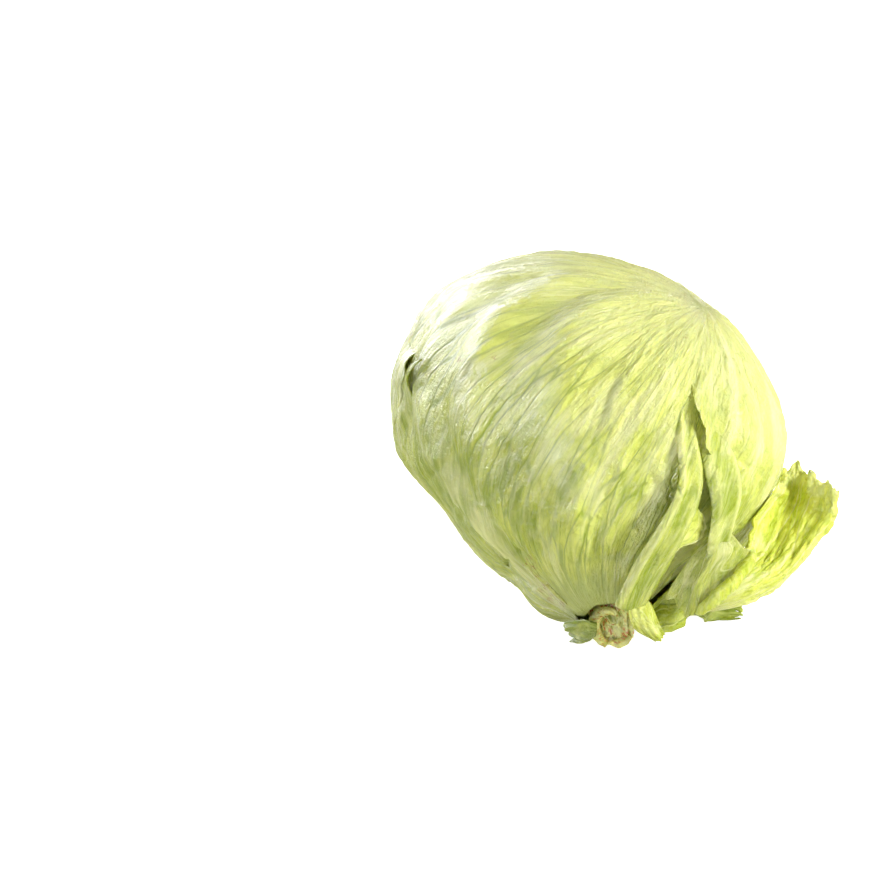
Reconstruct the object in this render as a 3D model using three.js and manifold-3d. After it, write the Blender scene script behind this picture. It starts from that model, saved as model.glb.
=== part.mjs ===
import * as THREE from "three";
import Module from "manifold-3d";

// A head of crisp lettuce lying on a table. X runs to the right, Y away from the viewer, Z up.
// Sizes are millimetres. The table is at zero height and the head's middle stands over the origin.

const CENTRE_HEIGHT = 72.5;
const VIEW_TILT = THREE.MathUtils.degToRad(24);
const VIEW_MIDDLE = [592, 432];
const MM_PER_STEP = 0.41;

// Half width of the head all round its outline, every 20 degrees from the right, anticlockwise.
const OUTLINE = [80, 74, 72.5, 73, 73.5, 77.5, 82, 87, 85, 78.5, 70.5, 69.5, 70, 78, 78, 77, 76.5, 78.5];
const FRONT_DEPTH = 73;
const BACK_DEPTH = 75;
// The leaf bases run out along the stem as a low neck.
const NECK = 8;
const NECK_REACH = 24;

// Leaves lie on each other a layer apart. Blades thin out towards their margins.
const LAYER = 2;
const BLADE = 1.2;
const MARGIN_BLADE = 0.8;
const HEART_LAYER = 7.4;

// The ribs run from the cut stem to the crown. Each rib line has a turn in degrees and a share
// of its length, which is 0 at the stem and 1 at the crown.
const STEM_SEEN = [0.124, -0.904, 0.408];
const CROWN_SEEN = [0.635, 0.711, 0.297];
const RELIEF = 1.5;
const RELIEF_WAVES = 9;
const SEED = 20;

const DEG = Math.PI / 180;
const clamp = (x, low, high) => Math.min(high, Math.max(low, x));
const smooth = (low, high, x) => {
  const t = clamp((x - low) / (high - low), 0, 1); // also falls, where low is over high
  return t * t * (3 - 2 * t);
};

function seeded(seed) {
  let state = seed;
  return () => {
    state = (state * 1664525 + 1013904223) % 4294967296;
    return state / 4294967296;
  };
}

// Turns a position seen from the front and above (right, up, toward the viewer) to the part's axes.
function fromSeen(right, up, toward) {
  return new THREE.Vector3(
    right,
    up * Math.sin(VIEW_TILT) - toward * Math.cos(VIEW_TILT),
    up * Math.cos(VIEW_TILT) + toward * Math.sin(VIEW_TILT),
  );
}

const STEM = fromSeen(...STEM_SEEN).normalize();
const CROWN = fromSeen(...CROWN_SEEN).normalize();
const CHORD_MIDDLE = STEM.clone().add(CROWN).multiplyScalar(0.5);
const CHORD = CROWN.clone().sub(STEM).normalize();
const HALF_CHORD = CROWN.distanceTo(STEM) / 2;
const SIDE = CHORD_MIDDLE.clone().normalize();
const ACROSS = new THREE.Vector3().crossVectors(CHORD, SIDE);
const MIDDLE_OUT = CHORD_MIDDLE.length();

// The direction at a share of one rib line.
function ribDirection(share, turn) {
  const v = turn * DEG;
  const out = SIDE.clone().multiplyScalar(Math.cos(v)).addScaledVector(ACROSS, Math.sin(v));
  const centre = CHORD_MIDDLE.clone().addScaledVector(out, -MIDDLE_OUT * Math.cos(v));
  const radius = Math.sqrt(1 - centre.lengthSq());
  const end = Math.atan2(HALF_CHORD, MIDDLE_OUT * Math.cos(v));
  const f = (2 * share - 1) * end;
  return centre.addScaledVector(out, radius * Math.cos(f)).addScaledVector(CHORD, radius * Math.sin(f));
}

// The share and turn of the rib line through a direction, and the angle at which that line
// passes half way, which spreads the ribs evenly round the head.
function ribPlace(direction) {
  const rest = direction.clone().sub(CHORD_MIDDLE);
  rest.addScaledVector(CHORD, -rest.dot(CHORD));
  const v = Math.atan2(rest.dot(ACROSS), rest.dot(SIDE));
  const out = SIDE.clone().multiplyScalar(Math.cos(v)).addScaledVector(ACROSS, Math.sin(v));
  const centre = CHORD_MIDDLE.clone().addScaledVector(out, -MIDDLE_OUT * Math.cos(v));
  const offset = direction.clone().sub(centre);
  const end = Math.atan2(HALF_CHORD, MIDDLE_OUT * Math.cos(v));
  const f = Math.atan2(offset.dot(CHORD), offset.dot(out));
  const reach = Math.sqrt(1 - (MIDDLE_OUT * Math.cos(v)) ** 2) - MIDDLE_OUT * Math.cos(v);
  const even = Math.atan2(reach * Math.sin(v), MIDDLE_OUT + reach * Math.cos(v));
  return { share: (f / end + 1) / 2, turn: v / DEG, even };
}

// Long shallow swells along the ribs, the same for every leaf so that they nest.
const swells = [];
const drawSwell = seeded(SEED);
for (let i = 0; i < RELIEF_WAVES; i += 1) {
  swells.push({
    round: 7 + 2 * i + Math.floor(drawSwell() * 2),
    along: (drawSwell() - 0.5) * 5,
    phase: drawSwell() * 2 * Math.PI,
    rise: 1 / (1 + 0.18 * i),
  });
}

function relief(direction) {
  const { share, even } = ribPlace(direction);
  let rise = 0;
  for (const w of swells) {
    rise += w.rise * Math.sin(w.round * even + w.along * Math.PI * share + w.phase);
  }
  const fade = smooth(0.05, 0.4, share) * smooth(0, 0.4, 1 - share);
  return (RELIEF * fade * rise) / 2;
}

function outlineRadius(angle) {
  const place = ((((angle / (2 * Math.PI)) % 1) + 1) % 1) * OUTLINE.length;
  const i = Math.floor(place);
  const t = place - i;
  const at = (k) => OUTLINE[(i + k + OUTLINE.length) % OUTLINE.length];
  return spline(at(-1), at(0), at(1), at(2), t);
}

function spline(a, b, c, d, t) {
  const bend = 2 * a - 5 * b + 4 * c - d + (3 * b - a - 3 * c + d) * t;
  return b + 0.5 * t * (c - a + t * bend);
}

// Distance from the head's middle to its outside in one direction.
function headRadius(direction) {
  const up = direction.y * Math.sin(VIEW_TILT) + direction.z * Math.cos(VIEW_TILT);
  const toward = direction.z * Math.sin(VIEW_TILT) - direction.y * Math.cos(VIEW_TILT);
  const depth = toward > 0 ? FRONT_DEPTH : BACK_DEPTH;
  const share = toward * toward;
  const round = outlineRadius(Math.atan2(up, direction.x));
  const fromStem = Math.acos(clamp(direction.dot(STEM), -1, 1)) / DEG;
  const neck = NECK * smooth(NECK_REACH, 6, fromStem);
  return round * (1 - share) + depth * share + relief(direction) + neck;
}

// The point in one direction that lies a depth inside the head's outside, and over the table.
function nested(direction, depth, floor) {
  let radius = headRadius(direction) - depth;
  if (direction.z < -0.3) {
    radius = Math.min(radius, (CENTRE_HEIGHT - floor) / -direction.z);
  }
  const point = direction.clone().multiplyScalar(radius);
  point.z += CENTRE_HEIGHT;
  return point;
}

// The point over the head at a place in the front view, lifted off the head's outside.
function overHead(x, y, lift) {
  const right = (x - VIEW_MIDDLE[0]) * MM_PER_STEP;
  const up = (VIEW_MIDDLE[1] - y) * MM_PER_STEP;
  const flat = right * right + up * up;
  let toward = 40;
  for (let i = 0; i < 12; i += 1) {
    const direction = fromSeen(right, up, toward).normalize();
    const radius = headRadius(direction) + lift;
    toward = Math.sqrt(Math.max(radius * radius - flat, 1));
  }
  const point = fromSeen(right, up, toward);
  point.z += CENTRE_HEIGHT;
  return point;
}

// The point at a place in the front view, a distance toward the viewer from the head's middle.
function inView(x, y, toward) {
  const right = (x - VIEW_MIDDLE[0]) * MM_PER_STEP;
  const up = (VIEW_MIDDLE[1] - y) * MM_PER_STEP;
  const point = fromSeen(right, up, toward);
  point.z += CENTRE_HEIGHT;
  return point;
}

// Keeps a point a height off the head's outside and over the table.
function keepClear(point, lift, floor) {
  const arm = point.clone();
  arm.z -= CENTRE_HEIGHT;
  const radius = arm.length();
  const direction = arm.normalize();
  const least = headRadius(direction) + lift;
  const kept = direction.multiplyScalar(Math.max(radius, least));
  kept.z = Math.max(kept.z + CENTRE_HEIGHT, floor);
  return kept;
}

function toGeometry(points, faces) {
  const geometry = new THREE.BufferGeometry();
  const flat = points.flatMap((p) => [p.x, p.y, p.z]);
  geometry.setAttribute("position", new THREE.Float32BufferAttribute(flat, 3));
  geometry.setIndex(faces);
  return geometry;
}

// Closes a disc of rings round a pole to a blade: outer face, inner face and the margin between.
// Each ring has its own number of points, and all rings start at the same side.
function closeDisc(outer, inner, counts) {
  const faces = [];
  const half = outer.length;
  const both = (a, b, c) => faces.push(a, b, c, half + a, half + c, half + b);
  let start = 1;
  for (let k = 0; k < counts[0]; k += 1) {
    both(0, 1 + k, 1 + ((k + 1) % counts[0]));
  }
  for (let r = 1; r < counts.length; r += 1) {
    const few = counts[r - 1];
    const many = counts[r];
    const next = start + few;
    let i = 0;
    let j = 0;
    while (i < few || j < many) {
      const a = start + (i % few);
      const b = next + (j % many);
      if (j < many && (i === few || (j + 1) * few <= (i + 1) * many)) {
        j += 1;
        both(a, b, next + (j % many));
      } else {
        i += 1;
        both(a, b, start + (i % few));
      }
    }
    start = next;
  }
  const last = counts[counts.length - 1];
  for (let k = 0; k < last; k += 1) {
    const a = start + k;
    const b = start + ((k + 1) % last);
    faces.push(a, half + a, half + b, a, half + b, b);
  }
  return toGeometry([...outer, ...inner], faces);
}

// A leaf that lies on the head. Its margin is a ring of rib places round its middle.
function wrapperLeaf({ middle, margin, depth, floor, rings, sectors, wave, lip, seed }) {
  const pole = ribDirection(...middle);
  const east = new THREE.Vector3().crossVectors(pole, STEM).normalize();
  const north = new THREE.Vector3().crossVectors(pole, east);
  const knots = margin.map((place) => {
    const d = ribDirection(...place);
    return { angle: Math.atan2(d.dot(north), d.dot(east)), reach: Math.acos(clamp(d.dot(pole), -1, 1)) };
  });
  knots.sort((a, b) => a.angle - b.angle);
  const knot = (k) => {
    const n = knots.length;
    const turns = Math.floor(k / n);
    const found = knots[k - turns * n];
    return { angle: found.angle + turns * 2 * Math.PI, reach: found.reach };
  };
  const reachAt = (angle) => {
    let k = -1;
    while (knot(k + 1).angle <= angle) k += 1;
    const t = (angle - knot(k).angle) / (knot(k + 1).angle - knot(k).angle);
    const low = knot(k).reach;
    const high = knot(k + 1).reach;
    return low + (high - low) * smooth(0, 1, t);
  };
  const draw = seeded(seed);
  const phases = [draw(), draw(), draw()].map((x) => x * 2 * Math.PI);
  const waved = (angle) => {
    const ripple = Math.sin(9 * angle + phases[0]) + Math.sin(17 * angle + phases[1]);
    return reachAt(angle) + wave * (ripple + 0.7 * Math.sin(27 * angle + phases[2]));
  };
  const toward = (angle, reach) => {
    const heading = east.clone().multiplyScalar(Math.cos(angle)).addScaledVector(north, Math.sin(angle));
    return pole.clone().multiplyScalar(Math.cos(reach)).addScaledVector(heading, Math.sin(reach));
  };
  // Angles are spread by the margin's own length, so that a deep notch gets its share of points.
  const steps = 720;
  const walked = [0];
  for (let k = 1; k <= steps; k += 1) {
    const a = -Math.PI + ((k - 1) / steps) * 2 * Math.PI;
    const b = -Math.PI + (k / steps) * 2 * Math.PI;
    const gone = toward(a, waved(a)).distanceTo(toward(b, waved(b)));
    walked.push(walked[k - 1] + gone + Math.PI / steps);
  }
  const angleAt = (t) => {
    const goal = t * walked[steps];
    let k = 1;
    while (walked[k] < goal && k < steps) k += 1;
    const f = (goal - walked[k - 1]) / (walked[k] - walked[k - 1]);
    return -Math.PI + ((k - 1 + f) / steps) * 2 * Math.PI;
  };
  const outer = [];
  const inner = [];
  const place = (direction, t) => {
    const found = ribPlace(direction);
    const rise = lip ? lip(found.share, found.turn) * smooth(0.8, 1, t) : 0;
    const down = depth(found.share, found.turn) - rise;
    const thick = BLADE + (MARGIN_BLADE - BLADE) * smooth(0.7, 1, t);
    outer.push(nested(direction, down, floor));
    inner.push(nested(direction, down + thick, floor + thick));
  };
  place(pole, 0);
  const counts = [];
  for (let r = 1; r <= rings; r += 1) {
    const t = r / rings;
    const count = Math.max(6, Math.round(sectors * t));
    counts.push(count);
    for (let k = 0; k < count; k += 1) {
      const angle = angleAt(k / count);
      place(toward(angle, waved(angle) * t), t);
    }
  }
  return closeDisc(outer, inner, counts);
}

// A free leaf through a net of points: rows run along it, places in a row run across it.
function freeLeaf({ net, along, across, thick, lift, floor, ruffle, tooth }) {
  const rows = net.length - 1;
  const columns = net[0].length - 1;
  const row = (i) => net[clamp(i, 0, rows)];
  const cell = (i, j) => row(i)[clamp(j, 0, columns)];
  const between = (get, t) => {
    const k = Math.max(Math.ceil(t) - 1, 0);
    const f = t - k;
    const [a, b, c, d] = [get(k - 1), get(k), get(k + 1), get(k + 2)];
    return new THREE.Vector3(
      spline(a.x, b.x, c.x, d.x, f),
      spline(a.y, b.y, c.y, d.y, f),
      spline(a.z, b.z, c.z, d.z, f),
    );
  };
  const grid = [];
  for (let i = 0; i <= along; i += 1) {
    const line = [];
    for (let j = 0; j <= across; j += 1) {
      const u = i / along;
      const v = j / across;
      const point = between((k) => between((m) => cell(k, m), v * columns), u * rows);
      line.push(point);
    }
    grid.push(line);
  }
  if (tooth) {
    for (let j = 0; j <= across; j += 1) {
      const run = grid[along][j].clone().sub(grid[along - 2][j]).normalize();
      grid[along][j].addScaledVector(run, tooth(j / across));
    }
  }
  const normalAt = (i, j) => {
    const a = grid[Math.min(i + 1, along)][j].clone().sub(grid[Math.max(i - 1, 0)][j]);
    const b = grid[i][Math.min(j + 1, across)].clone().sub(grid[i][Math.max(j - 1, 0)]);
    return a.cross(b).normalize();
  };
  const normals = grid.map((line, i) => line.map((_, j) => normalAt(i, j)));
  const outer = [];
  const inner = [];
  for (let i = 0; i <= along; i += 1) {
    for (let j = 0; j <= across; j += 1) {
      const u = i / along;
      const v = j / across;
      const n = normals[i][j];
      const bend = ruffle ? ruffle(u, v) : 0;
      const half = thick(u, v) / 2;
      const middle = grid[i][j].clone().addScaledVector(n, bend);
      const kept = keepClear(middle, lift + half, floor + half);
      outer.push(kept.clone().addScaledVector(n, half));
      inner.push(kept.clone().addScaledVector(n, -half));
    }
  }
  return closeSheet(outer, inner, along, across);
}

// Closes a grid of rows to a blade, split into triangles alike on both faces.
function closeSheet(outer, inner, along, across) {
  const faces = [];
  const half = outer.length;
  const wide = across + 1;
  const both = (a, b, c) => faces.push(a, b, c, half + a, half + c, half + b);
  const edge = (a, b) => faces.push(a, half + a, half + b, a, half + b, b);
  for (let i = 0; i < along; i += 1) {
    for (let j = 0; j < across; j += 1) {
      const a = i * wide + j;
      both(a, a + wide, a + wide + 1);
      both(a, a + wide + 1, a + 1);
    }
  }
  for (let i = 0; i < along; i += 1) {
    edge(i * wide, (i + 1) * wide);
    edge((i + 1) * wide + across, i * wide + across);
  }
  for (let j = 0; j < across; j += 1) {
    edge(j + 1, j);
    edge(along * wide + j, along * wide + j + 1);
  }
  return toGeometry([...outer, ...inner], faces);
}

// A rib that stands off the head: stations of view place, lift and width, rounded across.
function ribStrap({ stations, arch, rib, edge, along, lift, floor }) {
  const centres = stations.map(([x, y, up]) => overHead(x, y, up));
  const net = stations.map(([, , , width], i) => {
    const ahead = centres[Math.min(i + 1, centres.length - 1)];
    const behind = centres[Math.max(i - 1, 0)];
    const run = ahead.clone().sub(behind).normalize();
    const out = centres[i].clone();
    out.z -= CENTRE_HEIGHT;
    out.normalize();
    const side = new THREE.Vector3().crossVectors(out, run).normalize();
    return [-1, -0.5, 0, 0.5, 1].map((k) =>
      centres[i]
        .clone()
        .addScaledVector(side, (k * width) / 2)
        .addScaledVector(out, -arch * width * k * k),
    );
  });
  const thick = (u, v) => edge + (rib - edge) * (1 - (2 * v - 1) ** 2);
  return freeLeaf({ net, along, across: 6, thick, lift, floor });
}

const wasm = await Module();
wasm.setup();

function toManifold(geometry) {
  const mesh = new wasm.Mesh({
    numProp: 3,
    vertProperties: new Float32Array(geometry.attributes.position.array),
    triVerts: new Uint32Array(geometry.index.array),
  });
  return new wasm.Manifold(mesh);
}

function fuse(geometries) {
  const whole = geometries.map(toManifold).reduce((a, b) => a.add(b));
  const mesh = whole.getMesh();
  const geometry = new THREE.BufferGeometry();
  geometry.setAttribute("position", new THREE.Float32BufferAttribute(mesh.vertProperties, 3));
  geometry.setIndex(Array.from(mesh.triVerts));
  return geometry;
}

// The heart: the closed inner head under the outer leaves.
function heart() {
  const rings = 12;
  const sectors = 24;
  const axis = STEM.clone().negate();
  const east = new THREE.Vector3(1, 0, 0).cross(axis).normalize();
  const north = new THREE.Vector3().crossVectors(axis, east);
  const points = [nested(axis, HEART_LAYER, HEART_LAYER)];
  for (let r = 1; r < rings; r += 1) {
    const polar = (r / rings) * Math.PI;
    for (let s = 0; s < sectors; s += 1) {
      const a = (s / sectors) * 2 * Math.PI;
      const d = axis.clone().multiplyScalar(Math.cos(polar));
      d.addScaledVector(east, Math.sin(polar) * Math.cos(a));
      d.addScaledVector(north, Math.sin(polar) * Math.sin(a));
      points.push(nested(d, HEART_LAYER, HEART_LAYER));
    }
  }
  points.push(nested(STEM, HEART_LAYER, HEART_LAYER));
  const faces = [];
  const at = (ring, sector) => 1 + (ring - 1) * sectors + (sector % sectors);
  const last = points.length - 1;
  for (let s = 0; s < sectors; s += 1) {
    faces.push(0, at(1, s), at(1, s + 1));
    for (let r = 1; r < rings - 1; r += 1) {
      faces.push(at(r, s), at(r + 1, s), at(r + 1, s + 1));
      faces.push(at(r, s), at(r + 1, s + 1), at(r, s + 1));
    }
    faces.push(at(rings - 1, s), last, at(rings - 1, s + 1));
  }
  return toGeometry(points, faces);
}

// The cut stem: a short stump with the stubs of trimmed leaf bases round it.
const STEM_RADIUS = 9;
const STEM_START = 79;
const STEM_LENGTH = 14.5;
const STUBS = 6;

function roundStub(centre, radius, start, length, squash) {
  const sides = 12;
  const bands = [[0, 1.05], [0.55, 1], [0.9, 0.92], [1, 0.72]];
  const east = new THREE.Vector3(1, 0, 0).cross(STEM).normalize();
  const north = new THREE.Vector3().crossVectors(STEM, east);
  const spin = Math.atan2(centre[1], centre[0]);
  const points = [];
  const ringPoint = (reach, along, a) => {
    const radial = reach * squash * Math.cos(a);
    const across = reach * Math.sin(a);
    const x = centre[0] + radial * Math.cos(spin) - across * Math.sin(spin);
    const y = centre[1] + radial * Math.sin(spin) + across * Math.cos(spin);
    const p = STEM.clone().multiplyScalar(start + along * length);
    p.addScaledVector(east, x).addScaledVector(north, y);
    p.z += CENTRE_HEIGHT;
    return p;
  };
  points.push(ringPoint(0, 0, 0));
  for (const [along, wide] of bands) {
    for (let k = 0; k < sides; k += 1) {
      points.push(ringPoint(radius * wide, along, (k / sides) * 2 * Math.PI));
    }
  }
  points.push(ringPoint(0, 1, 0));
  const faces = [];
  const at = (band, k) => 1 + band * sides + (k % sides);
  const last = points.length - 1;
  for (let k = 0; k < sides; k += 1) {
    faces.push(0, at(0, k + 1), at(0, k));
    for (let b = 0; b < bands.length - 1; b += 1) {
      faces.push(at(b, k), at(b, k + 1), at(b + 1, k + 1));
      faces.push(at(b, k), at(b + 1, k + 1), at(b + 1, k));
    }
    faces.push(at(bands.length - 1, k), at(bands.length - 1, k + 1), last);
  }
  return toGeometry(points, faces);
}

function stem() {
  const solids = [roundStub([0.001, 0], STEM_RADIUS * 0.72, STEM_START, STEM_LENGTH, 1)];
  const draw = seeded(SEED + 1);
  for (let k = 0; k < STUBS; k += 1) {
    const angle = ((k + 0.3 * draw()) / STUBS) * 2 * Math.PI;
    const out = STEM_RADIUS * 0.62;
    const length = STEM_LENGTH * (0.7 + 0.26 * draw());
    const centre = [out * Math.cos(angle), out * Math.sin(angle)];
    solids.push(roundStub(centre, STEM_RADIUS * 0.62, STEM_START, length, 0.6));
  }
  return fuse(solids);
}

// The front leaf: the wide blade over the left and front, torn off its own midrib lower down.
const FRONT_STRAP = [
  [624, 602, 4, 15],
  [643, 563, 6.5, 17],
  [662, 530, 6.5, 15],
  [680, 497, 4.5, 13],
  [684, 472, 2, 11],
  [681, 445, -0.6, 9],
  [680, 415, -2.2, 6.5],
  [681, 385, -3.2, 3],
];

function frontLeaf() {
  const blade = wrapperLeaf({
    middle: [0.5, -95],
    margin: [
      [0.08, -10], [0.07, -60], [0.06, -95], [0.05, -135], [0.12, -165],
      [0.4, -168], [0.7, -170], [0.9, -170], [0.96, -165], [0.985, -120], [0.97, -60],
      [0.8, -28], [0.55, -8], [0.3, 18], [0.15, 20],
    ],
    depth: (share, turn) => LAYER + 0.6 * smooth(-132, -146, turn),
    floor: LAYER,
    rings: 14,
    sectors: 66,
    wave: 0.006,
    seed: SEED + 2,
  });
  const strap = ribStrap({
    stations: FRONT_STRAP,
    arch: 0.14,
    rib: 3.4,
    edge: 1,
    along: 18,
    lift: -3.1,
    floor: 0.5,
  });
  const torn = freeLeaf({
    net: [
      [overHead(684, 500, 3.6), overHead(688, 503, 3.4), overHead(692, 508, 3)],
      [overHead(673, 520, 5.2), overHead(688, 520, 4.4), overHead(699, 524, 3.6)],
      [overHead(664, 533, 6), overHead(678, 536, 5.6), overHead(696, 537, 5)],
      [overHead(656, 546, 7), overHead(664, 549, 6.8), overHead(672, 546, 6.6)],
      [overHead(648, 560, 7.4), overHead(655, 564, 7.2), overHead(660, 562, 7)],
    ],
    along: 10,
    across: 5,
    thick: () => 1,
    lift: 0.5,
    floor: 0.5,
    ruffle: (u, v) => 0.7 * v * Math.sin(11 * u),
  });
  return fuse([blade, strap, torn]);
}

// The right leaf: its left margin curls up beside the front rib, its own rib hangs off below
// and widens to a torn base.
const RIGHT_STRAP = [
  [706, 425, -0.8, 6],
  [710, 448, 0.8, 10],
  [717, 470, 3, 14],
  [720, 495, 5, 15],
  [718, 520, 6.5, 12.5],
  [715, 545, 8, 11],
];

function rightLeaf() {
  const grooveLip = (share, turn) => {
    const side = 1 - smooth(10, 40, turn);
    return 3.4 * side * smooth(0.9, 0.62, share) * smooth(0.3, 0.4, share);
  };
  const blade = wrapperLeaf({
    middle: [0.62, 42],
    margin: [
      [0.88, -58], [0.8, -55], [0.7, -46], [0.62, -41], [0.55, -32], [0.49, -17], [0.42, 0],
      [0.33, 22], [0.24, 45], [0.2, 75], [0.22, 100], [0.4, 112], [0.6, 118], [0.8, 125],
      [0.9, 150], [0.93, -178], [0.945, -150], [0.95, -110], [0.94, -75],
    ],
    depth: () => 0,
    floor: 0,
    rings: 12,
    sectors: 62,
    wave: 0.007,
    lip: grooveLip,
    seed: SEED + 3,
  });
  const strap = ribStrap({
    stations: RIGHT_STRAP,
    arch: 0.14,
    rib: 3.2,
    edge: 1,
    along: 16,
    lift: -1.6,
    floor: 0.5,
  });
  const base = freeLeaf({
    net: [
      [inView(709, 535, 47), inView(713, 538, 49), inView(718, 538, 48.5), inView(723, 535, 47)],
      [inView(693, 549, 48), inView(704, 558, 51), inView(718, 557, 50), inView(737, 545, 45)],
      [inView(677, 570, 46), inView(692, 582, 50), inView(713, 577, 48), inView(748, 552, 44)],
      [inView(662, 592, 43), inView(687, 613, 45), inView(713, 594, 44), inView(756, 560, 41)],
    ],
    along: 10,
    across: 12,
    thick: (u) => 1.2 - 0.3 * u,
    lift: 0.8,
    floor: 0.5,
    ruffle: (u, v) => 1.1 * u * Math.sin(15 * v + 1.5),
  });
  return fuse([blade, strap, base]);
}

// The back leaf: wraps the underside and the lower back, and folds over at the left.
function backLeaf() {
  const foldLip = (share, turn) => {
    const side = smooth(-156, -150, turn) * smooth(-120, -128, turn);
    return 3 * side * smooth(0.38, 0.44, share) * smooth(0.58, 0.54, share);
  };
  return wrapperLeaf({
    middle: [0.34, 165],
    margin: [
      [0.07, 70], [0.06, 120], [0.045, 180], [0.06, -140], [0.085, -125], [0.11, -129], [0.12, -143],
      [0.16, -157], [0.25, -160], [0.36, -157], [0.4, -149], [0.43, -142], [0.465, -145], [0.49, -141],
      [0.515, -134], [0.545, -143], [0.57, -157], [0.61, -172], [0.62, 165],
      [0.66, 145], [0.62, 125], [0.5, 95], [0.3, 82], [0.15, 66],
    ],
    depth: (share, turn) => LAYER * smooth(150, 105, turn) * smooth(0, 20, turn),
    floor: 0,
    rings: 14,
    sectors: 72,
    wave: 0.008,
    lip: foldLip,
    seed: SEED + 4,
  });
}

// The crown leaf: the next leaf in, seen at the upper back between the outer leaves.
function crownLeaf() {
  return wrapperLeaf({
    middle: [0.78, 175],
    margin: [
      [0.5, 110], [0.5, 145], [0.5, 175], [0.52, -155], [0.7, -140], [0.86, -110],
      [0.95, 0], [0.86, 90], [0.66, 100],
    ],
    depth: () => 2.25 * LAYER,
    floor: 2.25 * LAYER,
    rings: 10,
    sectors: 44,
    wave: 0.004,
    seed: SEED + 5,
  });
}

// The frilled leaf: rises from under the torn base at the lower right and opens like a scoop.
const FRILLED_NET = [
  [[703, 588, 28], [705, 592, 34], [706, 598, 37], [706, 604, 34], [705, 608, 28]],
  [[735, 565, 26], [740, 569, 31], [740, 579, 35], [737, 592, 33], [733, 604, 25]],
  [[752, 545, 28], [760, 550, 20], [770, 560, 21], [779, 572, 27], [769, 592, 18]],
  [[755, 512, 22], [775, 515, 11], [794, 526, 12], [808, 543, 21], [802, 563, 12]],
  [[766, 482, 19], [786, 487, 8], [809, 497, 9], [829, 511, 18], [832, 527, 11]],
  [[769, 474, 20], [793, 464, 11], [812, 477, 12], [831, 487, 19], [839, 492, 13]],
];

function frilledLeaf() {
  const draw = seeded(SEED + 6);
  const phases = [draw() * 6, draw() * 6];
  return freeLeaf({
    net: FRILLED_NET.map((line) => line.map((place) => inView(...place))),
    along: 18,
    across: 18,
    thick: (u) => 1.4 - 0.5 * u,
    lift: 1,
    floor: 0.5,
    ruffle: (u, v) => {
      const margin = smooth(0.35, 1, u);
      const folds = Math.sin(19 * v + phases[0]) + 0.6 * Math.sin(33 * v + 4 * u + phases[1]);
      return 1.5 * margin * folds;
    },
    tooth: (v) => 2.5 * Math.abs(Math.sin(4.5 * Math.PI * v + 0.6)) + 1.5 * Math.sin(31 * v),
  });
}

// The low leaf: from the right of the stem along the table to a torn tip.
const LOW_NET = [
  [[639, 604, 45], [641, 617, 47], [642, 630, 45]],
  [[649, 601, 41], [651, 616, 46], [654, 634, 41]],
  [[656, 612, 38], [661, 620, 42], [662, 631, 38]],
  [[672, 607, 31], [676, 615, 35], [679, 625, 31]],
  [[690, 606, 18], [694, 614, 20], [695, 620, 16]],
  [[712, 604, 4], [712, 613, 4], [710, 624, 0]],
  [[730, 605, -8], [728, 615, -4], [724, 627, -2]],
  [[737, 609, -8], [739, 615, -5], [742, 621, -3]],
];

function lowLeaf() {
  return freeLeaf({
    net: LOW_NET.map((line) => line.map((place) => inView(...place))),
    along: 18,
    across: 8,
    thick: (u) => 1.4 - 0.4 * u,
    lift: 1,
    floor: 0.4,
    ruffle: (u, v) => 0.5 * u * Math.sin(23 * u + 3 * v),
  });
}

// The small leaf: a torn lobe that hangs down left of the stem.
const SMALL_NET = [
  [[594, 620, 40], [594, 627, 36], [593, 634, 34]],
  [[584, 617, 42], [585, 627, 35], [586, 638, 31]],
  [[575, 618, 39], [577, 628, 31], [580, 641, 28]],
  [[564, 620, 31], [567, 629, 25], [573, 639, 24]],
];

function smallLeaf() {
  return freeLeaf({
    net: SMALL_NET.map((line) => line.map((place) => inView(...place))),
    along: 7,
    across: 5,
    thick: () => 1,
    lift: 1,
    floor: 0.5,
    ruffle: (u, v) => 0.5 * u * Math.sin(7 * v + 4 * u),
  });
}

const LEAF_GREEN = 0xc9d476;
const PALE_GREEN = 0xdfe3a4;
const FRILL_GREEN = 0xa9bb4a;
const STEM_CREAM = 0xd8d6a0;

const pieces = [
  ["stem", stem, STEM_CREAM],
  ["heart", heart, PALE_GREEN],
  ["front_leaf", frontLeaf, LEAF_GREEN],
  ["right_leaf", rightLeaf, PALE_GREEN],
  ["back_leaf", backLeaf, LEAF_GREEN],
  ["crown_leaf", crownLeaf, PALE_GREEN],
  ["frilled_leaf", frilledLeaf, FRILL_GREEN],
  ["low_leaf", lowLeaf, FRILL_GREEN],
  ["small_leaf", smallLeaf, FRILL_GREEN],
];

const head = new THREE.Group();
for (const [name, make, color] of pieces) {
  const material = new THREE.MeshStandardMaterial({ color, roughness: 0.4, metalness: 0 });
  const mesh = new THREE.Mesh(make(), material);
  mesh.name = name;
  head.add(mesh);
}

export default head;
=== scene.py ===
import math

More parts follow.
